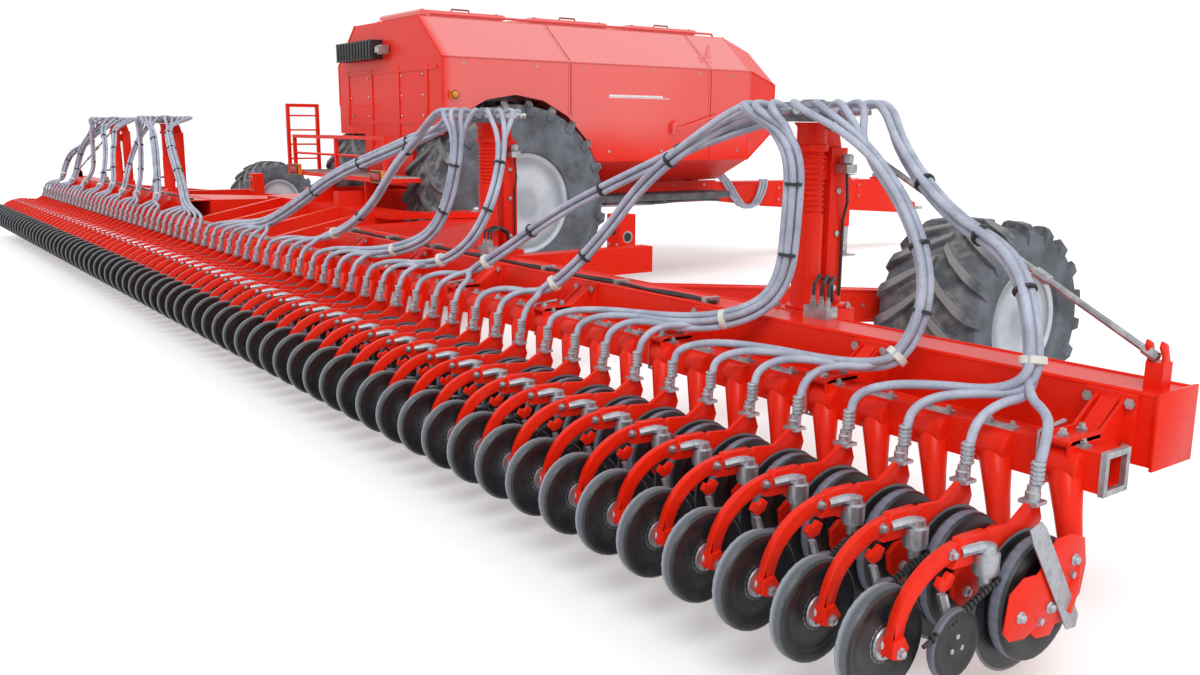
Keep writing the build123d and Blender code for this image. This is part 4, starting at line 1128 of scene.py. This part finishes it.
def beamFittings(s):
    # stay with its turnbuckle, valve block, couplings and the tube's end frame
    steel, dark, red = Shape(), Shape(), Shape()
    b = beamSettings
    high, foot = (Vector((s * x, y, z)) for x, y, z in (b["stayTop"], b["stayFoot"]))
    steel.tube([high, high.lerp(foot, 0.46), foot], b["stayRadius"], 8)
    for share, radius, reach in ((0.0, 0.022, 0.03), (0.5, 0.023, 0.06), (0.72, 0.022, 0.035), (0.985, 0.019, 0.03)):
        middle, along = high.lerp(foot, share), (foot - high).normalized() * reach
        steel.tube([middle - along, middle - along * 0.85, middle + along * 0.85, middle + along],
                [radius * 0.7, radius, radius, radius * 0.7], 8)
    # bent bracket that holds the stay's foot
    for x in b["bentBracket"]:
        red.plate([(1.165, 0.93), (1.235, 0.93), (1.225, 1.03), (1.195, 1.1), (1.16, 1.115), (1.15, 1.095),
                (1.175, 1.06), (1.17, 1.0)], s * x, s * (x + 0.01))
    # end plate of the beam and folded lips along its top
    end, top = b["end"], b["top"]
    red.slab((s * (end - 0.006), 1.07, 0.7), (s * (end + 0.006), 1.33, top + 0.01))
    for y in b["lips"]:
        red.tube([(s * 2.05, y, top - 0.003), (s * (end - 0.01), y, top - 0.003)], 0.01, 8)
    back, front, low, high = b["tube"]
    # steel frame round the tube's open end: rear, front, bottom and top
    low, high, back, front = low - 0.006, high + 0.006, back - 0.006, front + 0.006
    for y0, y1, z0, z1 in ((back, back + 0.02, low, high), (front - 0.02, front, low, high),
            (back + 0.02, front - 0.02, low, low + 0.02), (back + 0.02, front - 0.02, high - 0.02, high)):
        steel.slab((s * (end - 0.012), y0, z0), (s * (end + 0.007), y1, z1))
    for x in towerSettings["places"]:
        # valve block, its lines to the post, and the sensor on the post's side
        steel.slab((s * (x + 0.16), 1.24, top), (s * (x + 0.3), 1.31, 1.005))
        for dx in b["valveTaps"]:
            steel.bolt("coupling", (s * (x + dx), 1.275, 1.005), "Z")
            dark.tube([(s * (x + dx), 1.275, 1.045), (s * (x + dx), 1.28, 1.1), (s * (x + dx - 0.08), 1.4, 1.12),
                    (s * (x + 0.055), 1.54, 1.02 + dx * 0.2), (s * (x + 0.052), 1.55, 0.972)], 0.009, 6)
        steel.slab((s * (x + 0.045), 1.54, 1.585), (s * (x + 0.115), 1.61, 1.625))
        steel.lathe([(0.0, 0.02), (0.006, 0.028), (0.04, 0.03), (0.048, 0.018)], (s * (x + 0.085), 1.575, 1.625),
                "Z", 12)
        dark.tube([(s * (x + 0.085), 1.575, 1.59), (s * (x + 0.075), 1.6, 1.45), (s * (x + 0.052), 1.6, 1.36),
                (s * (x + 0.052), 1.6, 1.0)], 0.007, 6)
        for z in b["postBolts"]:
            steel.bolt("post", (s * (x + 0.042), 1.565, z), "X", s)
        for dx in (-0.105, 0.105):
            for y in (1.345, 1.6):
                steel.bolt("flange", (s * (x + dx), y, top + 0.001), "Z")
    # holes through the support block as dark discs of painted shade, one in a steel ring, and the block's bolts
    x, y = b["blockSide"], b["blockRear"]
    dark.lathe([(0.0, 0.034), (s * 0.003, 0.034)], (s * (x + 0.08), y + 0.075, 0.98), "X", 20)
    steel.lathe([(0.0, 0.046), (s * 0.002, 0.046)], (s * (x + 0.08), y + 0.075, 0.98), "X", 20)
    dark.lathe([(0.0, 0.03), (-0.003, 0.03)], (s * x, y, 1.02), "Y", 20)
    for dx in (-0.055, 0.055):
        for z in (1.1, 0.92):
            steel.bolt("block", (s * (x + dx), y, z), "Y", -1)
    # hydraulic lines clipped along the beam's top
    for k, (y, z, radius) in enumerate(b["lines"]):
        path = []
        for i in range(27):
            x = b["lineStart"] + i * b["linePitch"]
            path.append((s * x, y + 0.006 * sin(2.1 * i + k), z + 0.004 * cos(1.7 * i + 2 * k)))
        dark.tube(path, radius, 6)
    for i in range(b["clips"]):
        x = b["clipStart"] + i * b["clipPitch"]
        steel.slab((s * x, 1.105, top), (s * (x + 0.03), 1.195, top + 0.029))
    return steel, dark, red


for side, s in sides.items():
    body = "wing_" + side
    count, pitch = beamSettings["brackets"], beamSettings["bracketPitch"]
    first = beamSettings["bracketLast"] - (count - 1) * pitch if s > 0 else -beamSettings["bracketLast"]
    for make, finish, label, edge in ((clampShape, "redPaint", "tubeBrackets", 0.002),
            (clampBolts, "steel", "bracketBolts", 0.0)):
        unit = make().build(label, finish, edge)
        place(acrossDrill(unit, label + marks[side], finish, count, pitch, first), body)
    steel, dark, red = beamFittings(s)
    mount(steel, "beamFittings" + marks[side], "steel", body)
    # the beam's lines, and the support block's holes as dark discs of painted shade
    mount(dark, "beamLinesAndHoleShade" + marks[side], "blackRubberAndHoleShade", body)
    mount(red, "beamPlates" + marks[side], "redPaint", body, 0.002)
for section, (count, first, carrier) in rowSettings["sections"].items():
    unit = armBolts().build("armBolt", "steel")
    unit = acrossDrill(unit, "armBolts" + marks[section], "steel", count, rowSettings["pitch"], first)
    place(unit, carrier)
print("beams fitted")


# Chassis: fold pins, platform grating, lines under the tank, drawbar and its hoses, the jack's crank, lamps
chassisSettings = {
    "foldPin": (1.75, 2.7, 1.01),
    "platformTop": 1.312, "gratingFirst": -1.17, "gratingPitch": 0.0836, "gratingBars": 29,
    "crossBars": (2.07, 2.15, 2.23, 2.31, 2.39),
    "kneeRail": 1.5, "rungs": (1.42, 1.58, 1.74, 1.9),
    "lines": (0.575, 0.7, 0.8), "lineStart": 4.9, "lineHeight": 0.935, "lineClips": (5.25, 5.75, 6.25),
    "jack": (0.26, 9.6),
    "drawbarSide": 0.148, "drawbarPlates": (8.3, 9.05, 9.95), "drawbarLines": 4, "drawbarClips": (8.6, 9.3, 9.85),
    "couplings": 10.56,
    "armSide": 6.105, "armHalf": 0.058,
    "lampSide": 1.29, "lampAhead": 2.74, "lampHeight": 2.1, "rearLamp": (0.98, 1.18),
    "noseHoses": (0.172, 0.176, 0.18), "railBolts": 9, "railBoltFirst": 2.7, "railBoltPitch": 0.5,
}


def chassisFittings():
    c = chassisSettings
    steel, dark, red, pale = Shape(), Shape(), Shape(), Shape()
    x, y, z = c["foldPin"]
    for s in sides.values():
        steel.lathe([(-0.012, 0.05), (-0.004, 0.066), (0.012, 0.066), (0.02, 0.046), (0.034, 0.04), (0.04, 0.02)],
                (s * x, y, z), "Z", 20)
        steel.slab((s * (x + 0.06), y - 0.02, z - 0.004), (s * (x + 0.12), y + 0.02, z + 0.008))
    # grating bars on the rear platform
    top = c["platformTop"]
    for i in range(c["gratingBars"]):
        x = c["gratingFirst"] + i * c["gratingPitch"]
        steel.slab((x - 0.004, 2.062, top - 0.014), (x + 0.004, 2.396, top))
    for y in c["crossBars"]:
        steel.slab((-1.185, y - 0.004, top - 0.016), (1.185, y + 0.004, top - 0.004))
    # knee rail and the ladder's rungs
    red.tube([(-1.18, 2.038, c["kneeRail"]), (1.18, 2.038, c["kneeRail"])], 0.013, 8)
    for z in c["rungs"]:
        red.slab((-1.378, 2.05, z), (-1.35, 2.37, z + 0.018))
    # lines under the tank from the rear to the nose, with clips
    for s in sides.values():
        for k, x in enumerate(c["lines"]):
            path = [(s * (x + 0.012 * sin(1.3 * i + k)), c["lineStart"] + i * 0.16,
                    c["lineHeight"] - 0.01 * cos(0.9 * i + k)) for i in range(12)]
            dark.tube(path, 0.016, 8)
        for y in c["lineClips"]:
            steel.slab((s * 0.555, y, 0.945), (s * 0.83, y + 0.02, 0.958))
    # hoses hanging from the nose and along the drawbar
    for k, x in enumerate(c["noseHoses"]):
        shift = 0.055 * k
        pale.tube([(x, 7.16 + shift, 1.22), (x, 7.3 + shift, 1.1), (x, 7.44 + shift, 0.92), (x, 7.56 + shift, 0.8),
                (x, 7.7 + shift, 0.755), (x, 7.84 + shift, 0.8), (x, 7.93 + shift, 0.93), (x, 7.97 + shift, 1.05),
                (x - 0.03, 8.0 + shift, 1.12)], 0.021, 8)
    # jack's gear cap and crank
    x, y = c["jack"]
    steel.lathe([(0.0, 0.06), (0.012, 0.064), (0.03, 0.06), (0.036, 0.03), (0.07, 0.026), (0.074, 0.012)],
            (x, y, 1.12), "Z", 20)
    steel.tube([(x, y, 1.165), (x + 0.07, y, 1.165), (x + 0.14, y, 1.165), (x + 0.145, y, 1.235)], 0.01, 8)
    return steel, dark, red, pale


def drawbarFittings():
    c = chassisSettings
    steel, dark, red = Shape(), Shape(), Shape()
    for s in sides.values():
        x = s * c["drawbarSide"]
        red.tube([(x, 7.36, 1.068), (x, 10.34, 1.068)], 0.011, 8)
        red.tube([(x, 8.01, 0.773), (x, 9.79, 0.643)], 0.011, 8)
        for y in c["drawbarPlates"]:
            red.plate([(y, 0.8), (y + 0.09, 0.8), (y + 0.09, 1.04), (y, 1.04)], x + s * 0.001, x + s * 0.008)
            for z in (0.84, 1.0):
                steel.bolt("drawbar", (x + s * 0.008, y + 0.045, z), "X", s)
    # lines clipped along the drawbar's left side, up to their couplings in a rest
    for k in range(c["drawbarLines"]):
        x, y, z = -0.06 + 0.03 * k, c["couplings"], 0.965 - 0.026 * k
        dark.tube([(-0.162, 8.16, z), (-0.164, 8.8, z - 0.004), (-0.162, 9.5, z + 0.003), (-0.164, 10.05, z),
                (-0.15, 10.3, 0.98 - 0.03 * k), (x, y - 0.06, 1.02), (x, y, 1.08)], 0.0095, 8)
        steel.lathe([(0.0, 0.011), (0.01, 0.016), (0.04, 0.016), (0.044, 0.012), (0.07, 0.012), (0.074, 0.008)],
                (x, y, 1.075), "Z", 10)
    for y in c["drawbarClips"]:
        steel.slab((-0.18, y, 0.868), (-c["drawbarSide"], y + 0.025, 0.984))
    red.plate([(10.52, 0.93), (10.6, 0.93), (10.6, 1.095), (10.52, 1.095)], -0.09, 0.055)
    for s in sides.values():
        for z in (0.515, 0.665):
            steel.bolt("eye", (s * 0.068, 11.345, z), "Y")
    # nose: framed panel and two sight windows
    y = tankSettings["nose"]
    for x0, x1, z0, z1 in ((-0.66, 0.66, 2.24, 2.28), (-0.66, 0.66, 1.62, 1.66), (-0.66, -0.62, 1.66, 2.24),
            (0.62, 0.66, 1.66, 2.24), (-0.02, 0.02, 1.66, 2.24)):
        red.slab((x0, y - 0.003, z0), (x1, y + 0.009, z1))
    for x in (-0.32, 0.32):
        steel.slab((x - 0.13, y - 0.003, 1.86), (x + 0.13, y + 0.006, 2.08))
        dark.slab((x - 0.11, y - 0.003, 1.88), (x + 0.11, y + 0.008, 2.06))
    # bolts along the rails and the metering units' covers
    for s in sides.values():
        for i in range(c["railBolts"]):
            steel.bolt("block", (s * 0.46, c["railBoltFirst"] + c["railBoltPitch"] * i, 1.1), "X", s)
        for y in (5.35, 5.9):
            for dx, dz in ((0.07, 0.9), (0.07, 1.1), (0.17, 0.9), (0.17, 1.1)):
                steel.bolt("cover", (s * dx, y - 0.2, dz), "Y", -1)
    return steel, dark, red


def wheelArmFittings(s):
    # flange and bolts where the wheel's arm meets the beam, lips along the arm, and its axle's nut
    steel, red = Shape(), Shape()
    x, half = s * chassisSettings["armSide"], chassisSettings["armHalf"]
    red.slab((x - 0.125, 1.321, 0.712), (x + 0.125, 1.34, 0.948))
    for dx in (-0.095, 0.095):
        for z in (0.745, 0.83, 0.915):
            steel.bolt("flange", (x + dx, 1.34, z), "Y")
    for dx in (-half, half):
        red.tube([(x + dx, 1.34, 0.937), (x + dx, 3.7, 0.707)], 0.009, 8)
        red.tube([(x + dx, 1.34, 0.723), (x + dx, 3.53, 0.533)], 0.009, 8)
    steel.bolt("axle", (x - s * 0.06, 3.62, 0.62), "X", -s)
    for dy in (0.5, 1.1, 1.7):
        z = 0.83 - 0.0884 * dy
        steel.bolt("armSide", (x + s * 0.06, 1.32 + dy, z), "X", s)
    return steel, red


def lampParts():
    amber, red, black = Shape(), Shape(), Shape()
    for s in sides.values():
        centre = (s * chassisSettings["lampSide"], chassisSettings["lampAhead"], chassisSettings["lampHeight"])
        amber.lathe([(0.0, 0.034), (s * 0.01, 0.034), (s * 0.016, 0.026), (s * 0.018, 0.01)], centre, "X", 20)
        black.lathe([(0.0, 0.042), (s * 0.006, 0.042), (s * 0.007, 0.035)], centre, "X", 20)
        inner, outer = chassisSettings["rearLamp"]
        red.slab((s * inner, 1.968, 1.285), (s * outer, 1.981, 1.355))
        black.slab((s * (inner - 0.012), 1.974, 1.268), (s * (outer + 0.012), 1.99, 1.372))
    return amber, red, black


steel, dark, red, pale = chassisFittings()
mount(steel, "chassisSteel", "steel", "chassis")
mount(dark, "chassisLines", "darkHose", "chassis")
mount(red, "platformRails", "redPaint", "chassis")
mount(pale, "drawbarHoses", "hose", "chassis")
steel, dark, red = drawbarFittings()
mount(steel, "drawbarSteel", "steel", "chassis")
mount(dark, "drawbarLines", "blackRubberAndHoleShade", "chassis")
mount(red, "drawbarPlates", "redPaint", "chassis", 0.0015)
for side, s in sides.items():
    steel, red = wheelArmFittings(s)
    mount(steel, "armNuts" + marks[side], "steel", "wing_" + side)
    mount(red, "armLips" + marks[side], "redPaint", "wing_" + side, 0.0015)
amber, redLens, black = lampParts()
mount(amber, "sideLamps", "amberLens", "chassis")
mount(redLens, "rearLamps", "redLens", "chassis", 0.003)
mount(black, "lampCasings", "blackPlastic", "chassis")
print("chassis fitted")


# Frame nodes that keep their own solids get a finish
ownFinish = {
    "redPaint": ("chassis_frame", "drawbar", "jack_tube", "hopper_feet", "rear_platform", "wing_frame_right",
                 "wing_frame_left", "wing_wheel_arm_right", "wing_wheel_arm_left"),
    "tankPaint": ("hopper", "hopper_lid_1", "hopper_lid_2", "hopper_lid_3"),
    "galvanised": ("metering_units",),
    "steel": ("main_axle", "tow_eye", "jack_leg"),
    "blackPlastic": ("air_intake",),
    "amberLens": ("lamps",),
    "darkHose": ("air_pipes",),
}
for finish, names in ownFinish.items():
    for name in names:
        nodes[name].data.materials.clear()
        nodes[name].data.materials.append(finishes[finish])


# Camera, light and floor
cameraSettings = {
    "place": (10.6, -8.0325, 1.78),
    "turn": 53.9,
    "down": 11.14,
    "roll": 0.35,
    "lens": 31.77,
}


def setCamera():
    c = cameraSettings
    turn, down, roll = radians(c["turn"]), radians(c["down"]), radians(c["roll"])
    level = Vector((-sin(turn), cos(turn), 0))
    side = Vector((cos(turn), sin(turn), 0))
    forward = level * cos(down) - Vector((0, 0, 1)) * sin(down)
    up = level * sin(down) + Vector((0, 0, 1)) * cos(down)
    right = side * cos(roll) + up * sin(roll)
    upright = up * cos(roll) - side * sin(roll)
    data = bpy.data.cameras.new("camera")
    data.lens = c["lens"]
    data.sensor_width = 36
    data.clip_end = 200
    camera = newObject("camera", data)
    camera.matrix_world = Matrix.Translation(c["place"]) @ Matrix((right, upright, -forward)).transposed().to_4x4()
    bpy.context.scene.camera = camera


lightSettings = {
    "world": 0.66,
    "sun": 1.45,
    "fill": 0.45,
}


def setLight():
    world = bpy.data.worlds.new("studio")
    bpy.context.scene.world = world
    world.use_nodes = True
    tree = world.node_tree
    wire = Wire(tree)
    ray = wire.make("ShaderNodeLightPath").outputs()
    seen = wire.maths("MAXIMUM", ray["Is Camera Ray"], ray["Is Transmission Ray"])
    strength = lightSettings["world"] + seen * (1 - lightSettings["world"])
    strength = wire.maths("MAXIMUM", strength, ray["Is Glossy Ray"] * 0.95)
    tree.nodes["Background"].inputs["Color"].default_value = (1, 1, 1, 1)
    tree.links.new(strength.socket, tree.nodes["Background"].inputs["Strength"])
    for name, energy, spread, heading in (("sun", lightSettings["sun"], 30, (-0.55, 0.55, -0.9)),
            ("fill", lightSettings["fill"], 60, (-0.9, -0.2, -0.25))):
        data = bpy.data.lights.new(name, "SUN")
        data.energy = energy
        data.angle = radians(spread)
        lamp = newObject(name, data)
        lamp.rotation_euler = Vector(heading).to_track_quat("-Z", "Y").to_euler()


def setFloor():
    shape = Shape(0)
    shape.slab((-60, -60, -0.12), (60, 60, -0.0015))
    pale = Finish("paleFloor", Base_Color=(0.93, 0.93, 0.93, 1), Roughness=0.9, Specular_IOR_Level=0.0,
            Emission_Color=(1, 1, 1, 1))
    seen = pale.make("ShaderNodeLightPath").outputs()["Is Camera Ray"]
    finishes["paleFloor"] = pale.done(Emission_Strength=seen * 0.22)
    floor = shape.build("floor", "paleFloor")


setCamera()
setLight()
setFloor()
bpy.context.scene.view_settings.view_transform = "Standard"
print("camera, light and floor set")
